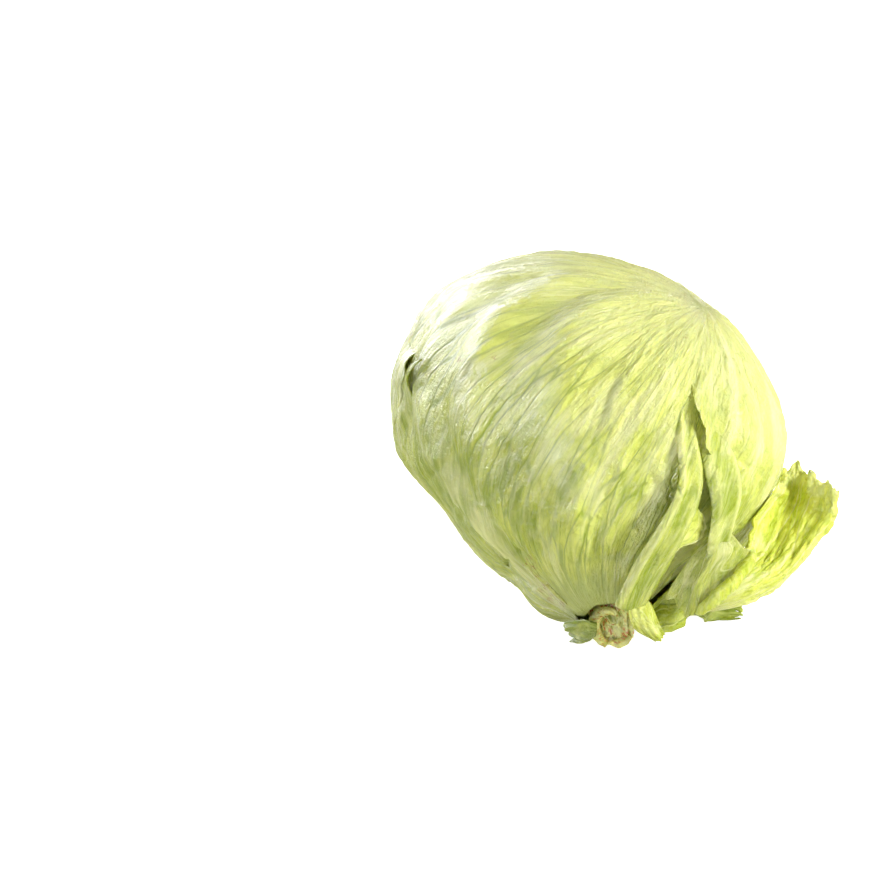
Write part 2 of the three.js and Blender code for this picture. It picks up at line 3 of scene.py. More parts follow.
import bpy
import numpy as np
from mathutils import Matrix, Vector


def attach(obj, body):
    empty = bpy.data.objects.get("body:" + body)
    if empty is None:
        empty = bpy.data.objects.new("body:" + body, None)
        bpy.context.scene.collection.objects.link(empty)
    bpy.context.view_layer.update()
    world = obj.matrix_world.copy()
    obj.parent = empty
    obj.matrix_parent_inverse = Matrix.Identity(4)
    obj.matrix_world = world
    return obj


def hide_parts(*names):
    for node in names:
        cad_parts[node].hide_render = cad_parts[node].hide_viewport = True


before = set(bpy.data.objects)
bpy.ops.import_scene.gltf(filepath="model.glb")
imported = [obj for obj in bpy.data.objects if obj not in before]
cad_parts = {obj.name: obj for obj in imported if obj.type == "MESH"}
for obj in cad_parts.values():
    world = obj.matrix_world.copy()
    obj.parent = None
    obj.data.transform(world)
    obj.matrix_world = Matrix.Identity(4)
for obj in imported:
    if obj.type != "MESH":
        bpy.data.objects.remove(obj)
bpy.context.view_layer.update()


# Heart: the closed inner head, pale leaves folded tight over each other. It is one body with
# the stem end at the lower front, and shows only in the gaps beside the ribs.
# Sizes in this file are millimetres and turn to metres where a mesh is made.
MM = 0.001
HEAD_MIDDLE = np.array([0.0, 0.0, 72.5])
VIEW_TILT = math.radians(24)
VIEW_MIDDLE = (592, 432)
MM_PER_STEP = 0.41
OUTLINE = [80, 74, 72.5, 73, 73.5, 77.5, 82, 87, 85, 78.5, 70.5, 69.5, 70, 78, 78, 77, 76.5, 78.5]
FRONT_DEPTH = 73
BACK_DEPTH = 75
NECK = 8
NECK_REACH = 24
RELIEF = 1.5
RELIEF_WAVES = 9
RELIEF_SEED = 20
HEART_LAYER = 7.4
HEART_RINGS = 90
HEART_SECTORS = 180


def smooth(low, high, x):
    """Smooth step from low to high. It falls where low is over high."""
    t = np.clip((x - low) / (high - low), 0, 1)
    return t * t * (3 - 2 * t)


def from_seen(right, up, toward):
    """Turns a position seen from the front and above to the part's axes."""
    c, s = math.cos(VIEW_TILT), math.sin(VIEW_TILT)
    return np.stack(np.broadcast_arrays(right, up * s - toward * c, up * c + toward * s), -1)


def as_seen(points):
    """The opposite: how far right, up and toward the viewer each point lies."""
    c, s = math.cos(VIEW_TILT), math.sin(VIEW_TILT)
    y, z = points[..., 1], points[..., 2]
    return points[..., 0], y * s + z * c, z * s - y * c


def unit(v):
    return v / np.linalg.norm(v, axis=-1, keepdims=True)


STEM_WAY = unit(from_seen(0.124, -0.904, 0.408))
CROWN_WAY = unit(from_seen(0.635, 0.711, 0.297))
CHORD_MIDDLE = (STEM_WAY + CROWN_WAY) / 2
CHORD = unit(CROWN_WAY - STEM_WAY)
HALF_CHORD = np.linalg.norm(CROWN_WAY - STEM_WAY) / 2
SIDE = unit(CHORD_MIDDLE)
ACROSS = np.cross(CHORD, SIDE)
MIDDLE_OUT = np.linalg.norm(CHORD_MIDDLE)


def rib_circle(v):
    """Outward direction and centre of the circles that the rib lines with those turns follow."""
    out = SIDE * np.cos(v)[..., None] + ACROSS * np.sin(v)[..., None]
    return out, CHORD_MIDDLE - out * (MIDDLE_OUT * np.cos(v))[..., None]


def rib_direction(share, turn):
    """The directions at a share of the rib lines with those turns in degrees."""
    v = np.radians(turn)
    out, centre = rib_circle(v)
    radius = np.sqrt(1 - (centre**2).sum(-1))[..., None]
    f = ((2 * share - 1) * np.arctan2(HALF_CHORD, MIDDLE_OUT * np.cos(v)))[..., None]
    return centre + out * radius * np.cos(f) + CHORD * radius * np.sin(f)


def rib_place(ways):
    """Share, turn in degrees and even angle of the rib lines through an array of directions."""
    rest = ways - CHORD_MIDDLE
    rest = rest - (rest @ CHORD)[..., None] * CHORD
    v = np.arctan2(rest @ ACROSS, rest @ SIDE)
    out, centre = rib_circle(v)
    offset = ways - centre
    end = np.arctan2(HALF_CHORD, MIDDLE_OUT * np.cos(v))
    f = np.arctan2(offset @ CHORD, (offset * out).sum(-1))
    reach = np.sqrt(1 - (MIDDLE_OUT * np.cos(v)) ** 2) - MIDDLE_OUT * np.cos(v)
    even = np.arctan2(reach * np.sin(v), MIDDLE_OUT + reach * np.cos(v))
    return (f / end + 1) / 2, np.degrees(v), even


DRAW_STEP = (1664525, 1013904223)
DRAW_RANGE = 2**32


def steady_draws(seed):
    """The same draws as the solid's source makes, so that both carry the same swells."""
    while True:
        seed = (seed * DRAW_STEP[0] + DRAW_STEP[1]) % DRAW_RANGE
        yield seed / DRAW_RANGE


def swell(share, even):
    """Long shallow swells along the ribs, shared by all leaves."""
    draw = steady_draws(RELIEF_SEED)
    rise = 0
    for i in range(RELIEF_WAVES):
        round_count = 7 + 2 * i + math.floor(next(draw) * 2)
        along = (next(draw) - 0.5) * 5
        phase = next(draw) * 2 * math.pi
        rise = rise + np.sin(round_count * even + along * math.pi * share + phase) / (1 + 0.18 * i)
    fade = smooth(0.05, 0.4, share) * smooth(0, 0.4, 1 - share)
    return RELIEF * fade * rise / 2


def between(a, b, c, d, t):
    """Catmull-Rom curve from b to c."""
    return b + 0.5 * t * (c - a + t * (2 * a - 5 * b + 4 * c - d + t * (3 * b - a - 3 * c + d)))


def outline_radius(angle):
    """The radius of the head's outline at an angle of the front view."""
    place = np.mod(angle / (2 * math.pi), 1) * len(OUTLINE)
    i = np.floor(place).astype(int)
    t = place - i
    knots = np.array(OUTLINE, float)
    return between(*(knots[(i + k) % len(OUTLINE)] for k in (-1, 0, 1, 2)), t)


def head_radius(ways):
    """Distance from the head's middle to its outside in each direction."""
    right, up, toward = as_seen(ways)
    depth = np.where(toward > 0, FRONT_DEPTH, BACK_DEPTH)
    round_ = outline_radius(np.arctan2(up, right))
    share, _, even = rib_place(ways)
    from_stem = np.degrees(np.arccos(np.clip(ways @ STEM_WAY, -1, 1)))
    neck = NECK * smooth(NECK_REACH, 6, from_stem)
    return round_ * (1 - toward**2) + depth * toward**2 + swell(share, even) + neck


def nested(ways, depth, floor):
    """Points a depth inside the head's outside, kept a floor height over the table."""
    radius = head_radius(ways) - depth
    below = ways[..., 2] < -0.3
    limit = (HEAD_MIDDLE[2] - floor) / np.where(below, -ways[..., 2], 1)
    radius = np.where(below, np.minimum(radius, limit), radius)
    return ways * radius[..., None] + HEAD_MIDDLE


def add_object(name, data):
    obj = bpy.data.objects.new(name, data)
    bpy.context.scene.collection.objects.link(obj)
    return obj


def make_mesh(name, points, faces, material):
    """A smooth mesh object from points in millimetres."""
    mesh = bpy.data.meshes.new(name)
    mesh.from_pydata((np.asarray(points) * MM).tolist(), [], faces)
    mesh.polygons.foreach_set("use_smooth", [True] * len(mesh.polygons))
    mesh.materials.append(material)
    mesh.update()
    return add_object(name, mesh)


def store(mesh, name, kind, field, values):
    """Stores an attribute on a mesh's points."""
    attribute = mesh.attributes.new(name, kind, "POINT")
    attribute.data.foreach_set(field, np.asarray(values, np.float32).ravel())


def paint(obj, ribs, green, rib, brown):
    """Stores where the ribs run and how green, ribbed or browned each point is."""
    look = np.ones((len(obj.data.vertices), 4), np.float32)
    look[:, 0], look[:, 1], look[:, 2] = green, rib, brown
    store(obj.data, "ribs", "FLOAT_VECTOR", "vector", ribs)
    store(obj.data, "look", "FLOAT_COLOR", "color", look)


RIB_ROUND = 75.0
RIB_ALONG = 26.0
LEAN = 1.7
LEAN_MIDDLE = -2.0


def rib_space(share, even):
    """A seamless space for patterns along the ribs: 75 mm round, a tenth of true length along.
    The veins lean over towards the crown on the left side."""
    left = ((1 + np.cos(even - LEAN_MIDDLE)) / 2) ** 2
    even = even - LEAN * left * (share - 0.5)
    return np.stack([np.cos(even) * RIB_ROUND, np.sin(even) * RIB_ROUND, share * RIB_ALONG], -1)


NOISE_TABLE = 4096
NOISE_PRIMES = (73856093, 19349663, 83492791)


def patch_noise(places, seed):
    """Smooth lattice noise between -1 and 1."""
    table = np.random.default_rng(seed).uniform(-1, 1, NOISE_TABLE)
    cell = np.floor(places).astype(np.int64)
    f = places - cell
    f = f * f * (3 - 2 * f)
    total = 0
    for corner in np.ndindex(2, 2, 2):
        key, weight = 0, 1
        for k, prime in enumerate(NOISE_PRIMES):
            key = key ^ (cell[..., k] + corner[k]) * prime
            weight = weight * (f[..., k] if corner[k] else 1 - f[..., k])
        total = total + table[key & NOISE_TABLE - 1] * weight
    return total


def wire(tree, node, values):
    """Sets a node's inputs to plain values, or links them to the outputs of other nodes."""
    for name, value in values.items():
        if isinstance(value, bpy.types.NodeSocket):
            tree.links.new(value, node.inputs[name])
        else:
            node.inputs[name].default_value = value


def add_node(tree, kind, values, **settings):
    """A new node with its settings and inputs. Gives its outputs."""
    node = tree.nodes.new(kind)
    for name, value in settings.items():
        setattr(node, name, value)
    wire(tree, node, values)
    return node.outputs


def add_sockets(tree, way, rows):
    for name, kind, *value in rows:
        socket = tree.interface.new_socket(name, in_out=way, socket_type="NodeSocket" + kind)
        if value:
            socket.default_value = value[0]


def leaf_pattern():
    """Node group: the vein net, streaks and blotches of a leaf, from its rib space and look."""
    group = bpy.data.node_groups.new("leaf pattern", "ShaderNodeTree")
    add_sockets(group, "INPUT", (
        ("Ribs", "Vector", (0, 0, 0)),
        ("Green", "Float", 0),
        ("Rib", "Float", 0),
        ("Brown", "Float", 0),
        ("Blade Color", "Color", (0.7, 0.75, 0.3, 1)),
        ("Green Color", "Color", (0.35, 0.45, 0.06, 1)),
        ("Rib Color", "Color", (0.8, 0.82, 0.5, 1)),
        ("Brown Color", "Color", (0.3, 0.1, 0.008, 1)),
        ("Vein Dark", "Float", 0.35),
        ("Blotch", "Float", 0.5),
    ))
    add_sockets(group, "OUTPUT", (("Color", "Color"), ("Height", "Float"), ("Roughness", "Float")))
    given = add_node(group, "NodeGroupInput", {})

    def math_node(kind, a, b):
        return add_node(group, "ShaderNodeMath", {0: a, 1: b}, operation=kind)[0]

    def times(a, b):
        return math_node("MULTIPLY", a, b)

    def plus(a, b):
        return math_node("ADD", a, b)

    def more(a, b):
        return math_node("MAXIMUM", a, b)

    def scaled(vector, size, start=(0, 0, 0)):
        values = {0: vector, 1: size, 2: start}
        return add_node(group, "ShaderNodeVectorMath", values, operation="MULTIPLY_ADD")[0]

    def noise(vector, size, detail=3, rough=0.6, output="Fac"):
        values = {"Vector": scaled(vector, size), "Scale": 1, "Detail": detail, "Roughness": rough}
        return add_node(group, "ShaderNodeTexNoise", values)[output]

    def remap(value, low, high, to_low=0, to_high=1, kind="LINEAR"):
        values = dict(enumerate((value, low, high, to_low, to_high)))
        return add_node(group, "ShaderNodeMapRange", values, interpolation_type=kind)["Result"]

    def net(vector, size, wide):
        values = {"Vector": scaled(vector, size), "Scale": 1}
        cells = add_node(group, "ShaderNodeTexVoronoi", values, feature="DISTANCE_TO_EDGE")
        return remap(cells["Distance"], 0, wide, 1, 0, "SMOOTHSTEP")

    def mix(factor, a, b):
        return add_node(group, "ShaderNodeMix", {0: factor, 6: a, 7: b}, data_type="RGBA")[2]

    bend = noise(given["Ribs"], (0.09, 0.09, 0.25), 3, 0.5, "Color")
    bent = scaled(bend, (4.5, 4.5, 2.5), given["Ribs"])
    lines = times(net(bent, (0.27, 0.27, 0.4), 0.1), 0.38)
    lines = more(net(bent, (0.11, 0.11, 0.12), 0.055), lines)
    crinkle = noise(bent, (0.75, 0.75, 1.9), 4, 0.65)
    streak = noise(bent, (0.55, 0.55, 0.3))
    blotch = noise(bent, (0.075, 0.075, 0.3))
    tone = noise(bent, (0.2, 0.2, 0.5))
    cream = noise(bent, (0.05, 0.05, 0.16))
    rust = noise(bent, (0.55, 0.55, 5), 4, 0.7)
    greener = plus(times(remap(blotch, 0.48, 0.72), given["Blotch"]), given["Green"])
    greener = plus(greener, remap(tone, 0.3, 0.7, -0.3, 0.3))
    greener = plus(greener, remap(crinkle, 0.3, 0.7, 0.26, -0.26))
    greener = math_node("MINIMUM", more(greener, 0), 1)
    color = mix(greener, given["Blade Color"], given["Green Color"])
    color = mix(times(lines, given["Vein Dark"]), color, given["Green Color"])
    pale = times(remap(streak, 0.45, 0.7), 0.35)
    pale = plus(pale, remap(cream, 0.48, 0.62, 0, 0.55))
    color = mix(more(pale, given["Rib"]), color, given["Rib Color"])
    color = mix(times(remap(rust, 0.5, 0.57), given["Brown"]), color, given["Brown Color"])
    height = plus(times(lines, -0.35), times(streak, 0.7))
    height = plus(plus(height, times(tone, 0.9)), times(crinkle, 1.1))
    rough = plus(remap(streak, 0.3, 0.7, 0.1, 0.22), times(greener, 0.25))
    rough = more(rough, times(lines, 0.65))
    add_node(group, "NodeGroupOutput", {"Color": color, "Height": height, "Roughness": rough})
    return group


LEAF_PATTERN = leaf_pattern()


RUST = (0.3, 0.1, 0.008)
CRINKLE = 0.9
CRINKLE_DEEP = 0.0009
GRAIN_DEEP = 0.0007
GRAIN_SCALE = 620


def leaf_material(name, blade, green, rib, vein_dark=0.95, blotch=0.85, brown=RUST):
    """A leaf's skin: waxy, a little translucent, with its vein net and crinkles."""
    material = bpy.data.materials.new(name)
    material.use_nodes = True
    tree = material.node_tree
    ribs = add_node(tree, "ShaderNodeAttribute", {}, attribute_name="ribs")
    look = add_node(tree, "ShaderNodeAttribute", {}, attribute_name="look")
    parts = add_node(tree, "ShaderNodeSeparateColor", {"Color": look["Color"]})
    pattern = add_node(tree, "ShaderNodeGroup", {
        "Ribs": ribs["Vector"],
        "Green": parts["Red"],
        "Rib": parts["Green"],
        "Brown": parts["Blue"],
        "Blade Color": (*blade, 1),
        "Green Color": (*green, 1),
        "Rib Color": (*rib, 1),
        "Brown Color": (*brown, 1),
        "Vein Dark": vein_dark,
        "Blotch": blotch,
    }, node_tree=LEAF_PATTERN)
    place = add_node(tree, "ShaderNodeTexCoord", {})
    values = {"Vector": place["Object"], "Scale": GRAIN_SCALE, "Detail": 3}
    grain = add_node(tree, "ShaderNodeTexNoise", values)
    values = {"Strength": CRINKLE, "Distance": GRAIN_DEEP, "Height": grain["Fac"]}
    fine = add_node(tree, "ShaderNodeBump", values)
    values = {"Strength": CRINKLE, "Distance": CRINKLE_DEEP, "Height": pattern["Height"]}
    coarse = add_node(tree, "ShaderNodeBump", {**values, "Normal": fine["Normal"]})
    wire(tree, tree.nodes["Principled BSDF"], {
        "Base Color": pattern["Color"],
        "Roughness": pattern["Roughness"],
        "Normal": coarse["Normal"],
        "Subsurface Weight": 0.35,
        "Subsurface Radius": (1.0, 0.8, 0.25),
        "Subsurface Scale": 0.002,
        "Specular IOR Level": 0.36,
    })
    return material


BLADE_PALE = (0.67, 0.72, 0.15)
BLADE_GREEN = (0.27, 0.35, 0.01)
RIB_PALE = (0.88, 0.88, 0.44)


def heart():
    axis = -STEM_WAY
    east = unit(np.cross([1.0, 0.0, 0.0], axis))
    north = np.cross(axis, east)
    polar = np.arange(1, HEART_RINGS) / HEART_RINGS * math.pi
    round_ = np.arange(HEART_SECTORS) / HEART_SECTORS * 2 * math.pi
    p, r = np.meshgrid(polar, round_, indexing="ij")
    ways = np.cos(p)[..., None] * axis + (np.sin(p) * np.cos(r))[..., None] * east
    ways = ways + (np.sin(p) * np.sin(r))[..., None] * north
    ways = np.vstack([axis[None], ways.reshape(-1, 3), STEM_WAY[None]])
    share, _, even = rib_place(ways)
    fold = 0.5 * patch_noise(rib_space(share, even) * [0.16, 0.16, 0.4], 3)
    points = nested(ways, HEART_LAYER - fold, HEART_LAYER - 0.5)
    faces = []
    n = HEART_SECTORS
    last = len(points) - 1
    for s in range(n):
        t = (s + 1) % n
        faces.append((0, 1 + s, 1 + t))
        faces.append((last - n + s, last, last - n + t))
        for k in range(HEART_RINGS - 2):
            a, b = 1 + k * n + s, 1 + k * n + t
            faces.append((a, a + n, b + n, b))
    skin = leaf_material("heart skin", (0.7, 0.74, 0.3), (0.42, 0.52, 0.1), RIB_PALE)
    obj = make_mesh("heart_leaves", points, faces, skin)
    paint(obj, rib_space(share, even), 0.15, 0, 0)
    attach(obj, "root")
    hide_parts("heart")


heart()


# Front leaf: the wide blade over the left, front and crown. Its thick midrib has torn off the
# blade lower down and hangs free to the stem, with a torn remnant of blade on its right.
LAYER = 2.0
BLADE = 1.0
MARGIN_BLADE = 0.5
# Each margin runs round its leaf: share of the way from stem to crown, and turn in degrees.
FRONT_MARGIN = [
    (0.08, -10), (0.07, -60), (0.06, -95), (0.05, -135), (0.12, -165),
    (0.4, -168), (0.7, -170), (0.9, -170), (0.96, -165), (0.985, -120), (0.97, -60),
    (0.8, -28), (0.55, -8), (0.3, 18), (0.15, 20),
]
# Stations of the free rib: place in the front view, lift off the head, and width.
FRONT_STRAP = [
    (624, 604, 4, 13), (645, 563, 6.5, 15), (664, 530, 6.5, 14), (680, 497, 4.5, 12.5),
    (684, 472, 2, 11), (681, 445, -1.2, 10), (680, 415, -3.2, 8), (681, 385, -4.4, 5),
]


def disc_faces(counts):
    """Triangles of rings round a pole, each ring with its own number of points."""
    faces = [(0, 1 + k, 1 + (k + 1) % counts[0]) for k in range(counts[0])]
    start = 1
    for few, many in zip(counts, counts[1:]):
        after = start + few
        i = j = 0
        while i < few or j < many:
            a, b = start + i % few, after + j % many
            if j < many and (i == few or (j + 1) * few <= (i + 1) * many):
                j += 1
                faces.append((a, b, after + j % many))
            else:
                i += 1
                faces.append((a, b, start + i % few))
        start = after
    return np.array(faces)


MARGIN_STEPS = 2880
TEETH = 0.002


def wrapper_leaf(middle, margin, rings, sectors, wave, seed):
    """Directions of a leaf on the head, their share of the way to the margin, and its faces."""
    pole = rib_direction(*middle)
    east = unit(np.cross(pole, STEM_WAY))
    north = np.cross(pole, east)
    ends = rib_direction(*np.array(margin, float).T)
    angles = np.arctan2(ends @ north, ends @ east)
    reaches = np.arccos(np.clip(ends @ pole, -1, 1))
    order = np.argsort(angles)
    angles, reaches = angles[order], reaches[order]
    angles = np.concatenate([angles - 2 * math.pi, angles, angles + 2 * math.pi])
    reaches = np.tile(reaches, 3)
    draw = steady_draws(seed)
    phases = [next(draw) * 2 * math.pi for _ in range(3)]

    def waved(angle):
        k = np.clip(np.searchsorted(angles, angle, "right") - 1, 0, len(angles) - 2)
        t = (angle - angles[k]) / (angles[k + 1] - angles[k])
        reach = reaches[k] + (reaches[k + 1] - reaches[k]) * smooth(0, 1, t)
        ripple = np.sin(9 * angle + phases[0]) + np.sin(17 * angle + phases[1])
        small = np.sin(61 * angle + phases[1]) + np.sin(97 * angle + phases[0])
        return reach + wave * (ripple + 0.7 * np.sin(27 * angle + phases[2])) + TEETH * small

    def heading(angle, reach):
        out = np.cos(angle)[..., None] * east + np.sin(angle)[..., None] * north
        return np.cos(reach)[..., None] * pole + np.sin(reach)[..., None] * out

    steps = np.linspace(-math.pi, math.pi, MARGIN_STEPS + 1)
    rim = heading(steps, waved(steps))
    gone = np.linalg.norm(np.diff(rim, axis=0), axis=1) + 2 * math.pi / MARGIN_STEPS
    walked = np.concatenate([[0], np.cumsum(gone)])
    walked /= walked[-1]
    ways, shares, counts = [pole[None]], [0.0], []
    for r in range(1, rings + 1):
        t = r / rings
        count = max(6, round(sectors * t))
        counts.append(count)
        angle = np.interp(np.arange(count) / count, walked, steps)
        ways.append(heading(angle, waved(angle) * t))
        shares += [t] * count
    return unit(np.vstack(ways)), np.array(shares), disc_faces(counts), counts[-1]


def close_blade(outer, inner, faces, rim):
    """Joins the two faces of a blade round its margin, which is the last ring of points."""
    half = len(outer)
    a = half - rim + np.arange(rim)
    b = half - rim + (np.arange(rim) + 1) % rim
    back = faces[:, ::-1] + half
    edge = np.vstack([np.stack([a, a + half, b + half], 1), np.stack([a, b + half, b], 1)])
    return np.vstack([outer, inner]), np.vstack([faces, back, edge])


def pucker(share, even, amount):
    """Fine ridges and dents along the ribs of an outer leaf."""
    space = rib_space(share, even)
    fade = smooth(0.03, 0.2, share) * smooth(0, 0.12, 1 - share)
    bend = patch_noise(space * [0.07, 0.07, 0.35], 11)[..., None] * 6
    dents = patch_noise((space + bend) * [0.13, 0.13, 0.34], 12)
    ridges = patch_noise((space + bend) * [0.34, 0.34, 0.4], 13)
    blisters = patch_noise((space + bend) * [0.3, 0.3, 1.6], 14)
    crimp = patch_noise((space + bend) * [0.6, 0.6, 1.3], 15)
    return amount * fade * (0.75 * dents + 0.45 * ridges + 0.4 * blisters + 0.2 * crimp)


def in_view(x, y):
    """Millimetres right and up of the head's middle, for a place in the front view."""
    return (x - VIEW_MIDDLE[0]) * MM_PER_STEP, (VIEW_MIDDLE[1] - y) * MM_PER_STEP


SETTLE_ROUNDS = 12


def over_head(x, y, lift):
    """The place of the front view that lies a lift above the head's outside."""
    right, up = in_view(x, y)
    toward = 40.0
    for _ in range(SETTLE_ROUNDS):
        radius = head_radius(unit(from_seen(right, up, toward))) + lift
        toward = math.sqrt(max(radius**2 - right**2 - up**2, 1))
    return from_seen(right, up, toward)


def toward_viewer(x, y, toward):
    return from_seen(*in_view(x, y), toward)


def rib_along_path():
    """Geometry nodes: a rounded rib swept along a path whose points hold width and outward."""
    tree = bpy.data.node_groups.new("rib along a path", "GeometryNodeTree")
    add_sockets(tree, "INPUT", (
        ("Path", "Geometry"),
        ("Spacing", "Float"),
        ("Flatness", "Float"),
        ("Sides", "Int"),
        ("Material", "Material"),
    ))
    add_sockets(tree, "OUTPUT", (("Rib", "Geometry"),))
    given = add_node(tree, "NodeGroupInput", {})

    def geometry(kind, values, **settings):
        return add_node(tree, "GeometryNode" + kind, values, **settings)[0]

    def named(name, kind):
        return geometry("InputNamedAttribute", {"Name": name}, data_type=kind)

    curve = geometry("MeshToCurve", {"Mesh": given["Path"]})
    curve = geometry("ResampleCurve", {"Curve": curve, "Length": given["Spacing"]}, mode="LENGTH")
    outward = named("outward", "FLOAT_VECTOR")
    curve = geometry("SetCurveNormal", {"Curve": curve, "Normal": outward}, mode="FREE")
    profile = geometry("CurvePrimitiveCircle", {"Resolution": given["Sides"], "Radius": 0.5})
    flat = add_node(tree, "ShaderNodeCombineXYZ", {"X": given["Flatness"], "Y": 1, "Z": 1})
    profile = geometry("Transform", {"Geometry": profile, "Scale": flat["Vector"]})
    width = named("width", "FLOAT")
    values = {"Curve": curve, "Profile Curve": profile, "Scale": width, "Fill Caps": True}
    rib = geometry("CurveToMesh", values)
    rib = geometry("SetShadeSmooth", {"Geometry": rib})
    rib = geometry("RealizeInstances", {"Geometry": rib})
    rib = geometry("SetMaterial", {"Geometry": rib, "Material": given["Material"]})
    add_node(tree, "NodeGroupOutput", {"Rib": rib})
    return tree


RIB_TREE = rib_along_path()


def smooth_path(points, steps):
    """Points along a Catmull-Rom curve through the rows of an array."""
    points = np.asarray(points, float)
    t = np.linspace(0, len(points) - 1, steps)
    k = np.minimum(np.floor(t).astype(int), len(points) - 2)
    last = len(points) - 1
    return between(*(points[np.clip(k + m, 0, last)] for m in (-1, 0, 1, 2)), (t - k)[:, None])


RIB_SPACING = 0.9
RIB_SIDES = 40


def sweep_rib(path, outward, width, flatness, material, spacing=RIB_SPACING, sides=RIB_SIDES):
    """Sweeps a rib with the geometry nodes: its points and faces."""
    mesh = bpy.data.meshes.new("rib path")
    edges = [(i, i + 1) for i in range(len(path) - 1)]
    mesh.from_pydata((path * MM).tolist(), edges, [])
    store(mesh, "outward", "FLOAT_VECTOR", "vector", outward)
    store(mesh, "width", "FLOAT", "value", width * MM)
    guide = add_object("rib path", mesh)
    modifier = guide.modifiers.new("rib", "NODES")
    modifier.node_group = RIB_TREE
    values = {"Spacing": spacing * MM, "Flatness": flatness, "Sides": sides, "Material": material}
    for item in RIB_TREE.interface.items_tree:
        if item.in_out == "INPUT" and item.name in values:
            modifier[item.identifier] = values[item.name]
    graph = bpy.context.evaluated_depsgraph_get()
    made = bpy.data.meshes.new_from_object(guide.evaluated_get(graph))
    bpy.data.objects.remove(guide)
    points = np.empty(len(made.vertices) * 3)
    made.vertices.foreach_get("co", points)
    faces = [tuple(p.vertices) for p in made.polygons]
    bpy.data.meshes.remove(made)
    return points.reshape(-1, 3) / MM, faces


def band(x, middle, width):
    """A soft band that is 1 at its middle."""
    return np.exp(-(((x - middle) / width) ** 2))


STRAP_STEPS = 80
STRAP_FLATNESS = 0.3


def strap(stations, material, green_root, tint):
    """A rib that stands off the head, with its paint: points, faces, ribs and look."""
    centres = smooth_path([over_head(*place) for *place, _ in stations], STRAP_STEPS)
    width = smooth_path([[w] for *_, w in stations], STRAP_STEPS)[:, 0]
    points, faces = sweep_rib(centres, unit(centres), width, STRAP_FLATNESS, material)
    near = np.linalg.norm(points[:, None] - centres[None], axis=2).argmin(1)
    share, _, even = rib_place(unit(points))
    space = rib_space(share, even)
    along = near / (len(centres) - 1)
    groove = patch_noise(space * [0.9, 0.9, 0.25], 31) * 0.35
    points = points + unit(points) * (groove * smooth(0, 0.1, along))[:, None]
    side = np.cross(unit(centres), unit(np.gradient(centres, axis=0)))[near]
    offset = points - centres[near]
    across = (offset * side).sum(1) / (width[near] / 2)
    channel = band(across, 0.12, 0.3)
    ridge = band(across, 0.68, 0.16) + 0.7 * band(across, -0.6, 0.2)
    outside = (offset * unit(centres)[near]).sum(1) > 0
    body = smooth(0, 0.15, along) * smooth(1, 0.7, along) * outside
    points = points + unit(points) * (body * (0.6 * ridge - 0.9 * channel))[:, None]
    green = tint * smooth(0, 0.35, along) + 0.3 * channel + green_root * smooth(0.5, 0.1, along)
    rib = 0.5 * smooth(0.1, 1, ridge)
    return points + HEAD_MIDDLE, faces, space, np.clip(green, 0, 1), rib, 0


def finish_piece(name, bodies, material, node):
    """Joins a leaf's bodies, each with points, faces, ribs, green, rib and brown, to one piece."""
    points, faces, ribs, looks = [], [], [], []
    start = 0
    for body_points, body_faces, space, *look in bodies:
        rows = body_faces.tolist() if isinstance(body_faces, np.ndarray) else body_faces
        faces += [tuple(i + start for i in face) for face in rows]
        points.append(body_points)
        ribs.append(space)
        looks.append(np.stack(np.broadcast_arrays(*look, np.zeros(len(body_points))), 1)[:, :3])
        start += len(body_points)
    obj = make_mesh(name, np.vstack(points), faces, material)
    paint(obj, np.vstack(ribs), *np.vstack(looks).T)
    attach(obj, "root")
    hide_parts(node)


def both_faces(points, faces, space, green, rib, brown=0):
    """The body of a blade with the same paint on both of its faces."""
    looks = np.broadcast_arrays(green, rib, brown, np.zeros(len(space)))[:3]
    return points, faces, np.vstack([space, space]), *(np.tile(x, 2) for x in looks)


# Bumps and notches of the outline at the left: share, turn, their half sizes and the rise.
BULGES = [
    (0.375, -152, 0.045, 14, 3.4), (0.285, -156, 0.02, 10, -0.8), (0.165, -172, 0.022, 16, -1.4),
    (0.12, 178, 0.03, 14, 1.2),
]


def bulge(share, turn):
    rise = 0
    for at, way, long_, wide, high in BULGES:
        off = (turn - way + 180) % 360 - 180
        rise = rise + high * band(share, at, long_) * band(off, 0, wide)
    return rise


FARTHEST_OUT = -3.6


def head_blade(
    middle, margin, depth, floor, size, wave, seed, amount, curl, look, rusted=(), dents=()
):
    """The whole blade of a leaf that lies on the head."""
    rings, sectors = size
    ways, t, faces, rim = wrapper_leaf(middle, margin, rings, sectors, wave, seed)
    share, turn, even = rib_place(ways)
    space = rib_space(share, even)
    thick = BLADE + (MARGIN_BLADE - BLADE) * smooth(0.75, 1, t)
    ripple = patch_noise(space * [0.22, 0.22, 0.5], seed) * 0.5 * smooth(0.93, 1, t)
    down = depth(share, turn) - pucker(share, even, amount) - curl(share, turn, t) - ripple
    x, y, toward = view_place(ways)
    down = down + patches(x, y, dents) * smooth(-5, 15, toward) - bulge(share, turn)
    down = np.maximum(down, FARTHEST_OUT)
    outer = nested(ways, down, floor)
    inner = nested(ways, down + thick, floor + thick)
    points, faces = close_blade(outer, inner, faces, rim)
    brown = specks(x, y, toward, rusted)
    return both_faces(points, faces, space, *look(share, turn, even), brown)


def view_place(ways):
    """Place in the front view, and distance toward the viewer, of the head's outside."""
    right, up, toward = as_seen(ways * head_radius(ways)[..., None])
    return VIEW_MIDDLE[0] + right / MM_PER_STEP, VIEW_MIDDLE[1] - up / MM_PER_STEP, toward


def normals(grid):
    return unit(np.cross(np.gradient(grid, axis=0), np.gradient(grid, axis=1)))


